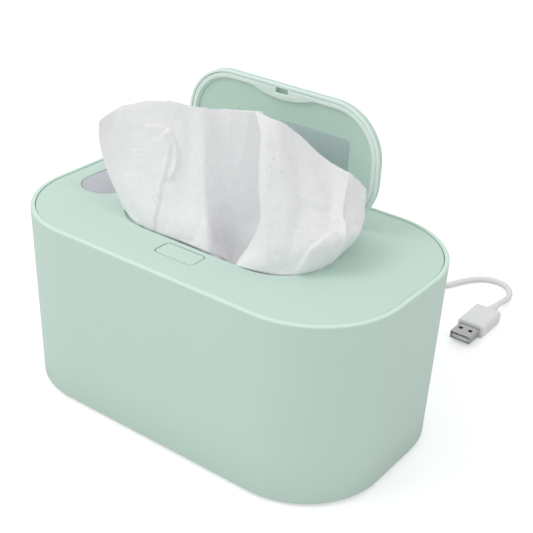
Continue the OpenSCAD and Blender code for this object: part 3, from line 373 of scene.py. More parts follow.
def nonwoven(name, cloth_layout=True):
    """Damp spunlace nonwoven: soft white, fibres run one way, with sparse pressed specks."""
    material = bpy.data.materials.new(name)
    material.use_nodes = True
    tree = material.node_tree
    tree.nodes.clear()
    if cloth_layout:
        cloth = add_node(tree, "ShaderNodeUVMap", {"uv_map": "cloth"}).outputs["UV"]
    else:
        cloth = add_node(tree, "ShaderNodeTexCoord").outputs["Object"]
    dots = add_node(tree, "ShaderNodeTexVoronoi", {"feature": "F1"},
                    {"Scale": per_metre(1.9), "Randomness": 0.8}, {"Vector": cloth})
    specks = add_node(tree, "ShaderNodeMapRange", {"interpolation_type": "SMOOTHSTEP"},
                      {"From Min": 0.36, "From Max": 0.14},
                      {"Value": dots.outputs["Distance"]}).outputs["Result"]
    patches = add_node(tree, "ShaderNodeTexNoise", values={"Scale": per_metre(13), "Detail": 3.0},
                       links={"Vector": cloth}).outputs["Fac"]
    where_pressed = add_node(tree, "ShaderNodeMapRange", values={"From Min": 0.5, "From Max": 0.66},
                             links={"Value": patches}).outputs["Result"]
    pressed = add_node(tree, "ShaderNodeMath", {"operation": "MULTIPLY"},
                       links={0: specks, 1: where_pressed}).outputs[0]
    fibre_way = add_node(tree, "ShaderNodeMapping", values={"Scale": (1, 0.25, 1)},
                         links={"Vector": cloth}).outputs["Vector"]
    fibres = add_node(tree, "ShaderNodeTexNoise", values={"Scale": per_metre(0.8), "Detail": 4.0,
                                                         "Distortion": 0.6},
                      links={"Vector": fibre_way}).outputs["Fac"]
    clouds = add_node(tree, "ShaderNodeTexNoise", values={"Scale": per_metre(4), "Detail": 4.0},
                      links={"Vector": cloth}).outputs["Fac"]
    height = add_node(tree, "ShaderNodeMath", {"operation": "SUBTRACT"},
                      links={0: fibres, 1: pressed}).outputs[0]
    bump = add_node(tree, "ShaderNodeBump", values={"Strength": 0.6, "Distance": 0.16 * MM},
                    links={"Height": height}).outputs["Normal"]
    tone = add_node(tree, "ShaderNodeMix", {"data_type": "RGBA"},
                    {"A": linear("#F0EFF3"), "B": linear("#FEFDFE")},
                    {"Factor": clouds}).outputs["Result"]
    faint = add_node(tree, "ShaderNodeMath", {"operation": "MULTIPLY"}, {1: 0.6},
                     {0: pressed}).outputs[0]
    shade = add_node(tree, "ShaderNodeMix", {"data_type": "RGBA"}, {"B": linear("#D5D6DE")},
                     {"Factor": faint, "A": tone}).outputs["Result"]
    body = add_node(tree, "ShaderNodeBsdfPrincipled",
                    values={"Roughness": 0.85, "IOR": 1.45, "Sheen Weight": 0.12,
                            "Sheen Roughness": 0.5, "Subsurface Weight": 0.35,
                            "Subsurface Scale": 0.0015, "Subsurface Radius": (1.0, 0.95, 1.0)},
                    links={"Base Color": shade, "Normal": bump})
    add_node(tree, "ShaderNodeOutputMaterial", links={"Surface": body.outputs["BSDF"]})
    return material


NONWOVEN = nonwoven("damp_spunlace_nonwoven")
STACKED_NONWOVEN = nonwoven("stacked_spunlace_nonwoven", cloth_layout=False)


def finished(piece, body, slot, material, *nodes):
    """Gives a piece its material and body and hides the CAD nodes it stands for; slot is not used.
    """
    piece.data.materials.clear()
    piece.data.materials.append(material)
    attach(piece, body)
    if nodes:
        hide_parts(*nodes)
    return piece


# ---- the lead ----
LEAD_IN = [(INLET_X, LEAD_Y, SOCKET_Z), (-30, 88, SOCKET_Z), (-30, 91, 9.4), (-30, 94.5, 8),
           (-30, 98, 6), (-30, 101.5, 4), (-30, 105, 2.5), (-30, 109, 1.8), (-30, 112.5, 1.7),
           (-30, 116, 1.7), (-30, 119.6, 1.7), (-30, 123, 1.7)]
COIL_C, COIL_R, COIL_PITCH, COIL_TURNS = (-4.5, 123.0), 25.5, 4.0, 3
LEAD_OUT = [(-1.1, 148.5, 5.7), (2.3, 148.5, 5.7), (7, 148.9, 4.7), (11.5, 149.9, 3.6),
            (16, 151.4, 2.6), (21.6, 154.2, 1.9), (26.6, 158, 1.7), (30.8, 162.6, 1.7),
            (34.3, 168, 1.7), (37.2, 174, 1.7), (40.2, 180, 1.7), (44.2, 185.6, 1.7),
            (49.6, 189.8, 1.7), (56, 191.2, 1.7), (62.2, 189.2, 1.7), (66.6, 184.4, 1.7),
            (68.9, 178, 1.9), (69.5, 171.4, 2.7), (69.5, 166, 3.6), (69.5, 162.4, 4),
            (69.5, 159, 4)]


def coil_points(steps=24):
    """Two layers of three turns: in along the lower one, up in half a turn, out along the upper."""
    inward, climb, out = COIL_TURNS * steps, steps / 2, COIL_TURNS * steps - steps / 4
    inner = COIL_R - COIL_TURNS * COIL_PITCH
    points = []
    for k in range(1, int(inward + climb + out) + 1):
        if k <= inward:
            radius, height = COIL_R - k * COIL_PITCH / steps, CORD_D / 2
        elif k <= inward + climb:
            share = (k - inward) / climb
            radius = inner - COIL_PITCH / 4 * math.sin(math.pi * share)
            height = CORD_D / 2 + COIL_PITCH * share
        else:
            radius = inner + (k - inward - climb) * (COIL_R - inner) / out
            height = CORD_D / 2 + COIL_PITCH
        turn = math.pi - 2 * math.pi * k / steps
        points.append((COIL_C[0] + radius * math.cos(turn), COIL_C[1] + radius * math.sin(turn),
                       height))
    return points


def route_length(route):
    return sum((Vector(b) - Vector(a)).length for a, b in zip(route, route[1:]))


def lead_cord():
    """One soft white cord, from the small plug through the stored coil to the large plug."""
    route = LEAD_IN + coil_points() + LEAD_OUT
    curve = bpy.data.curves.new("lead", "CURVE")
    curve.dimensions, curve.resolution_u = "3D", 5
    curve.bevel_depth, curve.bevel_resolution = CORD_D / 2 * MM, 5
    line = curve.splines.new("BEZIER")
    line.bezier_points.add(len(route) - 1)
    for point, where in zip(line.bezier_points, route):
        point.co = Vector(where) * MM
        point.handle_left_type = point.handle_right_type = "AUTO"
    lead = bpy.data.objects.new("lead", curve)
    bpy.context.scene.collection.objects.link(lead)
    finished(lead, "base", "lead_plastic", WHITE_PVC, "cord_lead", "cord_coil", "cord_tail")
    return lead, route_length(route) * MM


# ---- the casing ----
def casing():
    """The tub-shaped casing, drafted, with a rolled rim, two ledges and four screw bosses."""
    outer = lambda z: CORNER_R - (BODY_H - z) * DRAFT
    inner = lambda z: outer(z) - WALL
    section = [(inner(SHELL_Z0), SHELL_Z0), (outer(SHELL_Z0) - 0.8, SHELL_Z0),
               (outer(SHELL_Z0) - 0.25, SHELL_Z0 + 0.2), (outer(SHELL_Z0 + 0.8), SHELL_Z0 + 0.8)]
    section += [(outer(z), z) for z in (24, 47, 70)]
    section += [(outer(BODY_H - 1.1), BODY_H - 1.1)]
    section += arc(CORNER_R - 0.9, BODY_H - 0.9, 0.9, 10, 90, 7)
    section += [(CORNER_R - 2.05, BODY_H), (CORNER_R - 2.2, BODY_H - 0.15),
                (CORNER_R - 2.2, SHELF_Z), (CORNER_R - 3.7, SHELF_Z), (CORNER_R - 3.7, LEDGE_Z),
                (CORNER_R - 6.2, LEDGE_Z), (inner(82.4), 82.4), (inner(40), 40)]
    shell = drawn_pot("casing", section, CORNER_X, CORNER_Y, quarter=36)
    for x in (-1, 1):
        for y in (-1, 1):
            boss_x, boss_y = x * SCREW_BOSS_X, y * SCREW_BOSS_Y
            boss = rod("boss", SCREW_BOSS_R, 10.9, (boss_x, boss_y, 9.05))
            shape_with(boss, rod("bore", SCREW_BORE_R, 10.2, (boss_x, boss_y, 7.7)))
            web = block("web", 2.5, 5.1, -0.8, 0.8, 3.6, 14.5)
            place(web, Matrix.Translation(Vector((boss_x, boss_y, 0)) * MM)
                  @ Matrix.Rotation(math.atan2(y, x), 4, "Z"))
            shape_with(boss, web, "UNION")
            shape_with(shell, boss, "UNION")
    inlet = slab("inlet", (9.44 - 3.76) / 2, 0, 1.88, -10, 10)
    place(inlet, Matrix.Translation(Vector((INLET_X, 59.65, SOCKET_Z)) * MM)
          @ Matrix.Rotation(math.pi / 2, 4, "X"))
    shape_with(shell, inlet)
    pick_up(shell)
    bpy.ops.object.shade_smooth_by_angle(angle=math.radians(32))
    return finished(shell, "base", "body_plastic", RIM_HIGHLIGHT_ABS, "outer_shell")


# ---- pieces refined from the CAD's own solids ----
def refined(node, name, bevel, segments=2, angle=38):
    """A copy of a CAD solid, its triangles merged to clean faces and its edges rounded."""
    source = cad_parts[node]
    piece = bpy.data.objects.new(name, source.data.copy())
    bpy.context.scene.collection.objects.link(piece)
    piece.data.name = name
    edit(piece)
    bpy.ops.mesh.customdata_custom_splitnormals_clear()
    bpy.ops.mesh.remove_doubles(threshold=0.002 * MM)
    bpy.ops.mesh.dissolve_limited(angle_limit=math.radians(0.4), delimit=set())
    done_editing()
    soften(piece, bevel, segments, angle)
    return piece


# node: its name here, slot, material and the rounding of its edges in mm
PLUGS = {
    "plug_a_relief": ("large_plug_relief", "lead_plastic", "pvc", 0.25),
    "plug_a_body": ("large_plug_body", "lead_plastic", "pvc", 0.7),
    "plug_a_shell": ("large_plug_shell", "plug_steel", "nickel", 0.1),
    "plug_a_insert": ("large_plug_insert", "lead_plastic", "pvc", 0.12),
    "plug_c_relief": ("small_plug_relief", "lead_plastic", "pvc", 0.25),
    "plug_c_body": ("small_plug_body", "lead_plastic", "pvc", 0.7),
    "plug_c_shell": ("small_plug_shell", "plug_steel", "nickel", 0.1),
}


def plugs():
    """Both plugs, their overmoulds rounded as moulded PVC is; the large one keeps its contacts."""
    made = [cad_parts["plug_a_contacts"]]
    for node, (name, slot, kind, rounding) in PLUGS.items():
        piece = refined(node, name, rounding, 3, 30)
        made.append(finished(piece, "base", slot, NICKEL if kind == "nickel" else WHITE_PVC, node))
    return made


# ---- the lid, modelled shut and then stood open ----
STAND_OPEN = (Matrix.Translation(Vector((0, HINGE_Y, HINGE_Z)) * MM)
              @ Matrix.Rotation(-LID_OPEN, 4, "X")
              @ Matrix.Translation(Vector((0, -HINGE_Y, -HINGE_Z)) * MM))


def lid_shell():
    """The lid's outside, with two knuckles on the pin and a slot for the spring's leg."""
    section = [(LID_R - 1.4, 92.4), (LID_R - 1.4, LID_Z0 + 0.15), (LID_R - 1.25, LID_Z0),
               (LID_R - 0.3, LID_Z0), (LID_R - 0.09, LID_Z0 + 0.09), (LID_R, LID_Z0 + 0.3)]
    section += arc(LID_R - 1.2, COVER_Z - 1.2, 1.2, 0, 90, 8)
    shell = shifted(drawn_pot("lid", section, LID_CX, LID_CY, "filled", 32), 0, LID_Y, 0)
    for side in (-1, 1):
        inner, outer = sorted(side * x for x in KNUCKLES_X)
        knuckle = rod("knuckle", KNUCKLE_R, outer - inner,
                      ((inner + outer) / 2, HINGE_Y, HINGE_Z), ALONG_X)
        web = block("web", inner + 0.01, outer - 0.01, 28.7, HINGE_Y, LID_Z0, HINGE_Z + 2.6)
        shape_with(knuckle, web, "UNION")
        shape_with(shell, knuckle, "UNION")
    shape_with(shell, rod("pin_bore", PIN_BORE_R, 60, (0, HINGE_Y, HINGE_Z), ALONG_X))
    shape_with(shell, block("leg_slot", *SPRING_LEG_SLOT))
    soften(shell, 0.2, 2)
    place(shell, STAND_OPEN)
    return finished(shell, "lid", "body_plastic", LID_ABS, "lid_shell")


def lid_liner():
    """The lid's inner panel: a raised band with a step inside it, and the tab with the slot."""
    band = LID_R - 1.65
    section = [(band - 2.95, PANEL_Z), (band - 2.95, STEP_Z + 0.15), (band - 2.8, STEP_Z),
               (band - 2.15, STEP_Z), (band - 2.15, BAND_Z + 0.2)]
    section += arc(band - 1.95, BAND_Z + 0.2, 0.2, 180, 270, 4)
    section += arc(band - 0.2, BAND_Z + 0.2, 0.2, 270, 360, 4)
    section += [(band, PANEL_Z), (band + 0.1, PANEL_Z), (band + 0.1, PANEL_Z + 0.9)]
    liner = drawn_pot("lid_inner_panel", section, LID_CX, LID_CY, "filled", 32)
    tab = slab("tab", LID_CX, LID_CY, band - 0.3, BAND_Z, PANEL_Z + 0.01, quarter=32)
    shape_with(tab, rod("tab_arc", 46.74, 12, (0, -69.44, 90), sides=240), "INTERSECT")
    shape_with(liner, tab, "UNION")
    shifted(liner, 0, LID_Y, 0)
    shape_with(liner, block("hook_room", -4.2, 4.2, -29.2, -24.8, 90.6, 92.3))
    shape_with(liner, block("hook_slot", -3.5, 3.5, -28.35, -25.75, 88.8, 90.7))
    shape_with(liner, block("leg_slot", *SPRING_LEG_SLOT))
    shape_with(liner, block("slot_lip", -4.4, 4.4, -28.66, -28.38, BAND_Z + 0.05, STEP_Z),
               "UNION")
    soften(liner, 0.22, 2)
    place(liner, STAND_OPEN)
    return finished(liner, "lid", "liner_plastic", LID_PANEL_ABS, "lid_liner")


def lid_label():
    """The bare plate on the lid's inner panel."""
    plate = slab("bare_plate", 17.5, 8.5, 2.5, PANEL_Z - 0.2, PANEL_Z, (18, -1.6), 10)
    soften(plate, 0.06, 2, 60)
    place(plate, STAND_OPEN)
    return finished(plate, "lid", "label", LABEL_FILM, "lid_label")


# ---- button and window ----
def button():
    """The push button: cap, flange, spring pegs and plunger."""
    half_x, half_y = BUTTON_L / 2 - BUTTON_R, BUTTON_W / 2 - BUTTON_R
    section = [(BUTTON_R, 90.8)]
    section += arc(BUTTON_R - 0.45, COVER_Z - 0.45, 0.45, 0, 80, 5)
    section += [(BUTTON_R - 0.7, COVER_Z)]
    cap = drawn_pot("push_button", section, half_x, half_y, "filled", 16)
    flange = slab("flange", half_x, half_y, BUTTON_R + 0.8, 89.7, 91.15, quarter=16)
    shape_with(cap, flange, "UNION")
    for side in (-1, 1):
        shape_with(cap, rod("peg", 1, 3.2, (side * BUTTON_SPRING_X, 0, 88.3),
                            sides=24), "UNION")
    shifted(cap, 0, BUTTON_Y, 0)
    shape_with(cap, block("plunger", -2.5, 2.5, -39.4, -36.6, 83.38, 89.8), "UNION")
    pick_up(cap)
    bpy.ops.object.shade_smooth_by_angle(angle=math.radians(30))
    return finished(cap, "button", "body_plastic", BUTTON_ABS, "button_cap")


def window():
    """The display's capsule pane: its quarters part along Y, and by a hair along X."""
    edge, hair = WINDOW_W / 2 - 0.05, 0.001
    section = [(edge, COVER_Z - 1.4), (edge, COVER_Z - 0.25), (edge - 0.08, COVER_Z - 0.08),
               (edge - 0.25, COVER_Z)]
    pane = drawn_pot("display_pane", section, hair, (WINDOW_L - WINDOW_W) / 2, "filled", 24)
    shifted(pane, WINDOW_X, 0, 0)
    pick_up(pane)
    bpy.ops.object.shade_smooth_by_angle(angle=math.radians(30))
    return finished(pane, "cover", "window_plastic", GREY_ACRYLIC, "display_window")


# ---- the wipe ----
# Fold lines from left to right, each from where it leaves the pocket up to the free edge
FOLDS = [
    # edge left
    [(-34.7, -28.6, 93.3), (-42, -27.5, 96.5), (-48.3, -28, 105.5), (-53, -28.5, 114.5),
     (-55.7, -29, 122.4), (-57.3, -29, 129.9), (-57.1, -29, 138.2)],
    # left middle
    [(-30.9, -28.7, 93.3), (-35.2, -28, 98.9), (-40.2, -26.5, 108), (-45.6, -24.5, 116.9),
     (-48.7, -23, 125.5), (-50.6, -22, 134.5), (-51.9, -21, 143.7)],
    # left of the dart
    [(-24.7, -29.4, 93.3), (-26.1, -28.5, 100), (-29.9, -25.5, 107.8), (-33.6, -22, 117.6),
     (-35.9, -20, 127.2), (-37.7, -18.5, 137), (-40.3, -17.5, 149.3)],
    # right of the dart
    [(-15.9, -29, 93.3), (-16.5, -27, 100.5), (-18.6, -22.5, 109.3), (-19.7, -18.5, 120.6),
     (-21.3, -16, 130.1), (-24.6, -15, 139.5), (-28.1, -15, 151.2)],
    # second panel
    [(-6.3, -28.4, 93.3), (-6.8, -26.5, 100.5), (-11.2, -20, 109.8), (-13.9, -15.5, 121.3),
     (-16.2, -13, 133), (-17.9, -12.5, 143.5), (-19.9, -13, 151.6)],
    # first ridge
    [(8.2, -28.6, 93.3), (5, -24.5, 101.2), (-1.1, -19.5, 109.8), (-4.7, -16.5, 122.4),
     (-7.2, -14, 134.4), (-9, -12.5, 144.9), (-10.1, -12, 152.4)],
    # behind the first ridge
    [(5.5, -15, 84), (-2, -12, 89.4), (-1.7, -10, 104.2), (-2.7, -8.5, 119.4),
     (-4.5, -7, 132.1), (-5.5, -6.5, 143.1), (-6.3, -6.5, 151.3)],
    # valley
    [(12, -14, 81.5), (6.7, -8, 87.7), (6.5, -4, 102.6), (5.3, -2.5, 117.8),
     (4, -1.5, 131.8), (3.2, -1.5, 144.1), (1.9, -2, 151.7)],
    # under the second ridge
    [(20, -15, 81.5), (18.2, -5, 90.5), (17.6, 1, 102.9), (16.5, 3, 116.9),
     (15.1, 3.5, 131), (14.6, 3, 143.4), (13.6, 0, 152.5)],
    # second ridge
    [(25.2, -30.2, 93.3), (27.6, -22.5, 101.2), (30.2, -19.5, 114.5), (26.4, -16, 126),
     (23.5, -12.5, 137.1), (20.9, -9, 147.8), (14.9, -5.5, 155.3)],
    # left of the big panel
    [(40.1, -26.9, 93.3), (43.4, -23.5, 104.6), (40.3, -19.5, 115.5), (35.8, -15, 126.6),
     (32.2, -11.5, 137), (28.2, -7.5, 145.2), (24.7, -4, 152.8)],
    # big panel
    [(50.1, -20, 93.3), (52.2, -19, 105.8), (49, -14, 115.3), (43.9, -9, 123.7),
     (38.6, -4.5, 131.4), (33.9, 0, 138.5), (29.8, 3.5, 146.3)],
    # right of the big panel
    [(54.9, -10, 93.3), (59.1, -12, 107.4), (55.9, -6.5, 113.9), (51.3, -1, 119.4),
     (46.9, 4, 125.4), (42.7, 8, 130.9), (39.1, 11, 136)],
    # right fold
    [(55.3, -4, 93.3), (63.7, -6, 109.6), (61.4, -1.5, 114.3), (57.6, 3, 118.1),
     (54.8, 7.5, 121.8), (52.6, 12, 125.4), (50.6, 16, 129.4)],
    # wing
    [(55.3, 3, 93.3), (65, 0, 109.1), (63, 5, 112.4), (60.3, 9.5, 115.6),
     (58, 13.5, 118.3), (55.4, 17.5, 121.5), (53.1, 21, 124.9)],
    # edge right
    [(54.2, 10, 93.3), (65.3, 4, 108.2), (63.7, 9, 110.6), (61.7, 13.5, 112.7),
     (59.4, 17.5, 114.9), (57.5, 21, 117.9), (55.2, 24, 121.1)],
]


def between(p0, p1, p2, p3, t):
    """A smooth curve through p1 and p2."""
    return 0.5 * (2 * p1 + (p2 - p0) * t + (2 * p0 - 5 * p1 + 4 * p2 - p3) * t * t
                  + (3 * p1 - p0 - 3 * p2 + p3) * t ** 3)


def along(points, share):
    """The place at a share of the way along a fold line."""
    s = share * (len(points) - 1)
    i = min(int(s), len(points) - 2)
    p = [points[max(0, min(len(points) - 1, i + k))] for k in (-1, 0, 1, 2)]
    return between(*p, s - i)


# Creases on the sheet: kind, how far it stands out and how wide it is in mm, and its path in
# fold lines across and rows up. A ridge stands up along the path; a lip is the edge of a fold
# that lies over the cloth, with its raised side on the path's left.
CREASES = [
    # the pinched dart with the small leaf of cloth beside it
    ("lip", 0.8, 0.5, [(2.8, 5.05), (2.4, 5.14), (1.9, 5.1)]),
    ("ridge", 1.5, 0.65, [(2.69, 4.96), (2.75, 4.85), (2.81, 4.38), (2.69, 3.63), (2.62, 3.0),
                         (2.5, 2.54), (2.44, 1.79), (2.25, 1.04), (2.19, 0.1)]),
    ("lip", 1.8, 0.45, [(2.75, 2.5), (2.94, 2.88), (3.06, 3.17), (3.1, 3.75), (3.04, 4.38),
                       (2.9, 4.9), (2.78, 5.05)]),
    ("ridge", -0.6, 1.2, [(4.56, 1.7), (4.62, 1.38), (4.44, 0.92), (4.31, 0.1)]),
    # the overhanging second ridge down to its flap
    ("lip", 0.9, 0.8, [(8.9, 6.1), (9.0, 4.96), (8.95, 4.21), (8.97, 3.29), (8.97, 2.42),
                       (9.05, 2.02), (9.0, 1.44), (8.8, 1.04), (8.5, 0.1)]),
    ("ridge", 0.7, 0.9, [(9.56, 1.38), (9.62, 0.92), (9.75, 0.52), (9.94, 0.06)]),
    # soft hollows of the big panel
    ("ridge", -1.3, 4.0, [(11.19, 3.0), (11.06, 2.6), (10.56, 1.73), (10.31, 0.87),
                          (10.56, 0.12)]),
    ("ridge", 1.0, 5.0, [(11.12, 5.9), (11.38, 4.79), (11.56, 3.63), (11.75, 2.54)]),
    # the light flap at the right foot
    ("lip", 1.7, 0.9, [(12.75, 1.62), (12.2, 1.5), (11.81, 1.38), (11.25, 1.04), (11.0, 0.58),
                       (10.88, 0.0)]),
    # the fold before the wing
    ("lip", 1.9, 0.8, [(13.05, -0.1), (13.0, 0.69), (13.06, 1.1), (13.06, 1.79), (12.88, 2.48),
                       (13.0, 3.69), (13.0, 4.73), (13.06, 5.6)]),
    # light streaks and a soft slanting hollow in the valley
    ("ridge", 0.5, 1.0, [(6.62, 5.48), (6.5, 4.9), (6.5, 4.04)]),
    ("ridge", 0.5, 1.2, [(7.38, 5.83), (7.19, 4.44), (6.94, 3.4)]),
    ("ridge", -1.2, 3.0, [(8.5, 2.37), (7.5, 1.9), (6.88, 1.5), (6.25, 0.92)]),
    ("ridge", -0.8, 3.0, [(1.38, 5.5), (1.44, 3.92), (1.56, 2.6), (1.75, 1.38)]),
]
COLUMN, ROW = 11.0, 10.0


def crease_lift(crease, across, up):
    """How far a crease lifts the cloth at a place on the sheet, in mm."""
    kind, height, width, path = crease
    place = Vector((across * COLUMN, up * ROW))
    nearest = None
    for k, (a, b) in enumerate(zip(path, path[1:])):
        a, b = (Vector((q[0] * COLUMN, q[1] * ROW)) for q in (a, b))
        way = b - a
        t = max(0.0, min(1.0, (place - a).dot(way) / way.length_squared))
        gap = place - a - way * t
        if nearest is None or gap.length < nearest[0]:
            nearest = (gap.length, way.x * gap.y - way.y * gap.x, (k + t) / (len(path) - 1))
    distance, side, share = nearest
    if distance > 30:
        return 0.0
    taper = 1.0    # a crease dies out at an end on the sheet, and runs over the sheet's edge
    for end, run in ((path[0], share), (path[-1], 1 - share)):
        if 0.2 < end[1] < 5.7:
            taper = min(taper, run / 0.16)
    height *= taper * taper * (3 - 2 * taper)
    if kind == "ridge":
        return height * math.exp(-(distance / width) ** 2)
    signed = math.copysign(distance, side)
    rise = 1 / (1 + math.exp(-max(-40.0, min(40.0, 4.5 * signed / width))))
    return height * rise * math.exp(-max(signed, 0.0) / (9 * width))


def cloth_mesh(name, columns, across, up, wrinkle, creases=()):
    """A sheet through the fold lines: a grid that is bent, creased and finely wrinkled."""
    nothing_selected()
    bpy.ops.mesh.primitive_grid_add(x_subdivisions=across, y_subdivisions=up, size=1)
    sheet = bpy.context.object
    sheet.name = sheet.data.name = name
    uv = sheet.data.uv_layers[0]
    uv.name = "cloth"
    lines = [[Vector(p) for p in column] for column in columns]
    rows = sorted({round(point.co.y + 0.5, 5) for point in sheet.data.vertices})
    level = {v: [along(line, v) for line in lines] for v in rows}
    where = {}
    for point in sheet.data.vertices:
        u, v = point.co.x + 0.5, point.co.y + 0.5
        where[round(u, 5), round(v, 5)] = along(level[round(v, 5)], u)
    columns_at = sorted({key[0] for key in where})
    for point in sheet.data.vertices:
        u, v = round(point.co.x + 0.5, 5), round(point.co.y + 0.5, 5)
        i, j = columns_at.index(u), rows.index(v)
        left, right = columns_at[max(0, i - 1)], columns_at[min(len(columns_at) - 1, i + 1)]
        below, above = rows[max(0, j - 1)], rows[min(len(rows) - 1, j + 1)]
        facing = (where[right, v] - where[left, v]).cross(where[u, above] - where[u, below])
        facing.normalize()
        lift = sum(crease_lift(c, u * (len(columns) - 1), v * (len(columns[0]) - 1))
                   for c in creases)
        soft = (noise.noise(Vector((u * 17, v * 3.2, 3)))
                + 0.4 * noise.noise(Vector((u * 40, v * 11, 7)))
                + 0.22 * noise.noise(Vector((u * 95, v * 38, 5))))
        held = min(1.0, v / 0.06)    # the foot stays on its line
        spot = where[u, v] + facing * (lift + soft * wrinkle) * held
        if creases:    # the creased sheet's upper edge is free, and ragged
            ragged = (0.9 * noise.noise(Vector((u * 13, 2.5, 9)))
                      + 0.35 * noise.noise(Vector((u * 60, 4.5, 2))))
            spot.z += ragged * v ** 3
        point.co = spot * MM
    for loop in uv.data:
        loop.uv = (loop.uv[0] * 0.165, loop.uv[1] * 0.065)
    return sheet


def folded_stack():
    """The wipes as folded in the pack: layer on layer, each a soft bulge."""
    radius, layers, low, high = 8.0, 14, 18.05, 59.9
    thick = (high - low) / layers
    section = []
    for k in range(layers):
        z = low + k * thick
        pull = 0.9 if k % 2 else 0.25
        top = 1.6 * max(0, k - layers + 3)
        section += [(radius - 1.3 - top, z + 0.06 * thick), (radius - pull - top, z + 0.3 * thick),
                    (radius - pull - top, z + 0.7 * thick), (radius - 1.3 - top, z + 0.94 * thick)]
    stack = drawn_pot("folded_stack", section, 75 - radius, 40 - radius, "filled", 12)
    edit(stack)
    bpy.ops.mesh.subdivide(number_cuts=1)
    done_editing()
    for point in stack.data.vertices:
        place_mm = point.co / MM
        layer = math.floor((place_mm.z - low) / thick)
        sway = noise.noise(Vector((place_mm.x * 0.03, place_mm.y * 0.03, layer * 3.7)))
        inward = Vector((place_mm.x / 75, place_mm.y / 40, 0))
        point.co -= inward * (0.45 + 0.45 * sway) * MM
    stack.data.update()
    pick_up(stack)
    bpy.ops.object.shade_smooth()
    finished(stack, "base", "wipe_cloth", STACKED_NONWOVEN, "wipe_stack")


def felt_pad():
    """Pressed felt under the heater: soft edges, a slightly uneven face, and the notch."""
    pad = slab("felt_pad", 70, 30, 5, 11.85, 14.75, quarter=10)
    shape_with(pad, block("notch", -34, 2, 7.55, 19.55, 10, 16))
    apply_modifier(pad, "BEVEL", width=0.7 * MM, segments=3, limit_method="ANGLE",
                   angle_limit=math.radians(50))
    apply_modifier(pad, "TRIANGULATE")
    edit(pad)
    bpy.ops.mesh.subdivide(number_cuts=2)
    done_editing()
    for point in pad.data.vertices:
        if point.co.z < 12.4 * MM:
            point.co.z += 0.12 * MM * (1 + noise.noise(point.co * 260))
    pick_up(pad)
    bpy.ops.object.shade_smooth_by_angle(angle=math.radians(40))
    finished(pad, "base", "insulation", FELT, "insulation_pad")


# ---- wound wire ----
def wound_wire(name, route, diameter, body, node, matrix):
    """Round spring wire along a route, with its ends closed."""
    curve = bpy.data.curves.new(name, "CURVE")
    curve.dimensions, curve.bevel_depth, curve.bevel_resolution = "3D", diameter / 2 * MM, 2
    curve.use_fill_caps = True
    line = curve.splines.new("POLY")
    line.points.add(len(route) - 1)
    for point, where in zip(line.points, route):
        point.co = (*(Vector(where) * MM), 1)
    wire = bpy.data.objects.new(name, curve)
    bpy.context.scene.collection.objects.link(wire)
    pick_up(wire)
    bpy.ops.object.convert(target="MESH")
    wire = bpy.context.object
    place(wire, matrix)
    outward(wire)
    pick_up(wire)
    bpy.ops.object.shade_smooth_by_angle(angle=math.radians(50))
    return finished(wire, body, "steel", ZINC_STEEL, node)


def helix(radius, pitch, start, end, steps=20):
    """Points of a coil between two turn counts, rising along Z."""
    count = int((end - start) * steps)
    turns = [start + (end - start) * k / count for k in range(count + 1)]
    return [(radius * math.cos(2 * math.pi * t), radius * math.sin(2 * math.pi * t), pitch * t)
            for t in turns]


def springs():
    """The lid's torsion spring, as coil and upper leg, and the button's two springs."""
    length, pitch, turns = 9.63125, 1.15, 8.375
    at_hinge = (Matrix.Translation(Vector((-length / 2, HINGE_Y, HINGE_Z)) * MM)
                @ Matrix.Rotation(math.pi / 2, 4, "Y"))
    lower = [(3.85, -8, 0), (3.75, -7, 0), (3.62, -6, 0), (3.4, -5, 0), (2.9, -3.6, 0),
             (2.35, -2.2, 0), (2.02, -1, 0)]
    wound_wire("lid_spring_coil", lower + helix(SPRING_R, pitch, 0, 7), LID_SPRING_WIRE,
               "cover", "lid_spring", at_hinge)
    upper = helix(SPRING_R, pitch, 7, turns)
    upper += [(-1.9, 1.68, length), (-2.6, 1.5, length), (-3.6, 1.35, length),
              (-7, 1.35, length), (-10.5, 1.35, length)]
    wound_wire("lid_spring_leg", upper, LID_SPRING_WIRE, "lid", "lid_spring", at_hinge)
    coil = helix(SPRING_R, (BUTTON_SPRING_Z1 - BUTTON_SPRING_Z0) / 5, 0, 5)
    for side, name in ((-1, "left"), (1, "right")):
        foot = (side * BUTTON_SPRING_X * MM, BUTTON_Y * MM, BUTTON_SPRING_Z0 * MM)
        wire = wound_wire(f"button_spring_{name}", coil, BUTTON_SPRING_WIRE, "cover",
                          "button_springs", Matrix.Translation(foot))
        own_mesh(wire)


def wipe():
    """The wipe in three lengths: above the cover, at the pocket, and hanging to the stack.

    Out of sight, the lower two still cut through the cover's pocket and the latch's hook."""
    pocket, hanging = [], []
    for column in FOLDS:
        x, y, z = column[0]
        knee = POCKET_Z if z > 90 else 77    # over the pocket's floor, or into the mouth
        low = (x * 0.86, y * 0.84, knee)
        pocket.append([low, (x * 0.94, y * 0.93, (knee + z) / 2), (x, y, z)])
        # gathered towards the middle of the stack, with two bends on the way down
        hanging.append([(x * 0.66, y * 0.2 - 1, STACK_TOP), (x * 0.72, y * 0.4, knee * 0.42 + 35.4),
                        (x * 0.78, y * 0.6, knee * 0.75 + 15.3), low])
    lengths = [
        (cloth_mesh("upper_wipe", FOLDS, 300, 120, 0.5, CREASES), (0.165, 0.065), True),
        (cloth_mesh("pocket_wipe", pocket, 160, 10, 0.2), (0.13, 0.01), True),
        (cloth_mesh("hanging_wipe", hanging, 120, 36, 0.3), (0.09, 0.032), False),
    ]
    for sheet, flat, pressed in lengths:
        apply_modifier(sheet, "SOLIDIFY", thickness=CLOTH_T * MM, offset=0)
        pick_up(sheet)
        bpy.ops.object.shade_smooth()
        finished(sheet, "cover", "wipe_cloth", NONWOVEN, "wipe")
        if pressed:    # the lengths the lid would press into the pocket get meshes of their own
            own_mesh(sheet)


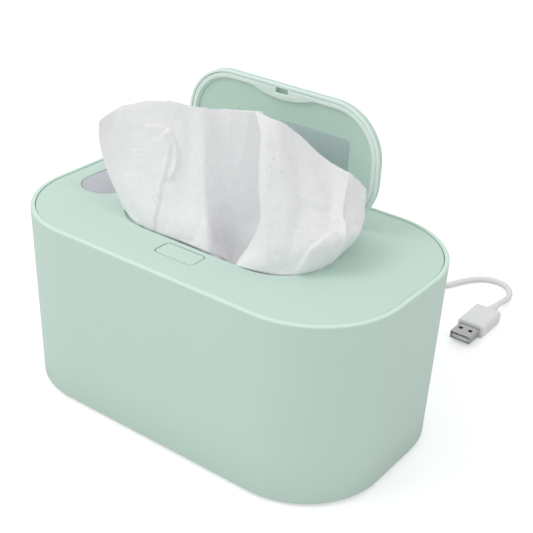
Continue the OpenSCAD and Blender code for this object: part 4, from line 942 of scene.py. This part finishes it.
# ---- put together ----
camera_at_the_photographs_angle()
lead, lead_length = lead_cord()
plugs()
casing()
finished(refined("top_cover", "cover", 0.25), "cover", "body_plastic", MINT_ABS, "top_cover")
lid_shell()
lid_liner()
lid_label()
button()
window()
springs()
felt_pad()
folded_stack()
wipe()

CARRIED_OVER = {
    "base_plate": MINT_ABS, "rubber_feet": RUBBER, "base_screws": ZINC_STEEL,
    "inner_tub": WHITE_PP, "heat_spreader": ALUMINIUM, "heater_film": AMBER_FILM,
    "thermistor": AMBER_RESIN, "thermal_fuse": ALUMINIUM,
    "heater_leads": RED_SILICONE, "main_board": GREEN_BOARD, "board_chips": BLACK_EPOXY,
    "board_screws": ZINC_STEEL, "usb_socket": NICKEL, "display_board": GREEN_BOARD,
    "display_module": BLACK_FILTER, "display_ribbon": GREY_RIBBON, "cover_gasket": SILICONE,
    "hinge_pin": ZINC_STEEL, "latch_bracket": WHITE_PP,
    "bracket_screws": ZINC_STEEL, "latch_pin": ZINC_STEEL,
    "latch_lever": MINT_ABS_INNER, "plug_a_contacts": GOLD,
}
for name, material in CARRIED_OVER.items():
    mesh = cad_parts[name].data
    mesh.materials.clear()
    mesh.materials.append(material)


# ---- floor and light ----
def floor_and_light():
    """A white studio: the floor and the sky look white to the camera and light the room softly."""
    nothing_selected()
    bpy.ops.mesh.primitive_plane_add(size=12, location=(0, 0, -0.0002))
    floor = bpy.context.object
    floor.name = "floor"
    white = bpy.data.materials.new("white_studio_floor")
    white.use_nodes = True
    tree = white.node_tree
    tree.nodes.clear()
    ray = add_node(tree, "ShaderNodeLightPath")
    base = add_node(tree, "ShaderNodeBsdfPrincipled",
                    values={"Base Color": (0.8, 0.8, 0.8, 1), "Roughness": 0.25,
                            "Specular IOR Level": 0.35})
    glow = add_node(tree, "ShaderNodeEmission", values={"Strength": 0.42}).outputs["Emission"]
    lit = add_node(tree, "ShaderNodeAddShader", links={0: base.outputs["BSDF"], 1: glow})
    seen = add_node(tree, "ShaderNodeMixShader",
                    links={0: ray.outputs["Is Camera Ray"], 1: base.outputs["BSDF"],
                           2: lit.outputs["Shader"]})
    add_node(tree, "ShaderNodeOutputMaterial", links={"Surface": seen.outputs["Shader"]})
    floor.data.materials.append(white)

    world = bpy.data.worlds.new("studio")
    bpy.context.scene.world = world
    world.use_nodes = True
    tree = world.node_tree
    tree.nodes.clear()
    ray = add_node(tree, "ShaderNodeLightPath")
    soft = add_node(tree, "ShaderNodeBackground",
                    values={"Color": (1, 1, 1, 1), "Strength": 0.76}).outputs["Background"]
    bright = add_node(tree, "ShaderNodeBackground",
                      values={"Color": (1, 1, 1, 1), "Strength": 1.0}).outputs["Background"]
    seen = add_node(tree, "ShaderNodeMixShader",
                    links={0: ray.outputs["Is Camera Ray"], 1: soft, 2: bright})
    add_node(tree, "ShaderNodeOutputWorld", links={"Surface": seen.outputs["Shader"]})

    def softbox(name, place, target, size, power):
        lamp = bpy.data.lights.new(name, "AREA")
        lamp.shape, lamp.size, lamp.energy = "DISK", size, power
        light = bpy.data.objects.new(name, lamp)
        bpy.context.scene.collection.objects.link(light)
        light.location = place
        light.rotation_euler = (Vector(target) - Vector(place)).to_track_quat("-Z", "Y").to_euler()

    softbox("key_softbox", (-0.7, -0.75, 1.3), (0, 0, 0.05), 0.9, 6)
    softbox("side_softbox", (1.3, -0.7, 0.75), (0, 0, 0.05), 1.0, 1)


floor_and_light()
bpy.context.scene.view_settings.view_transform = "Standard"
nothing_selected()
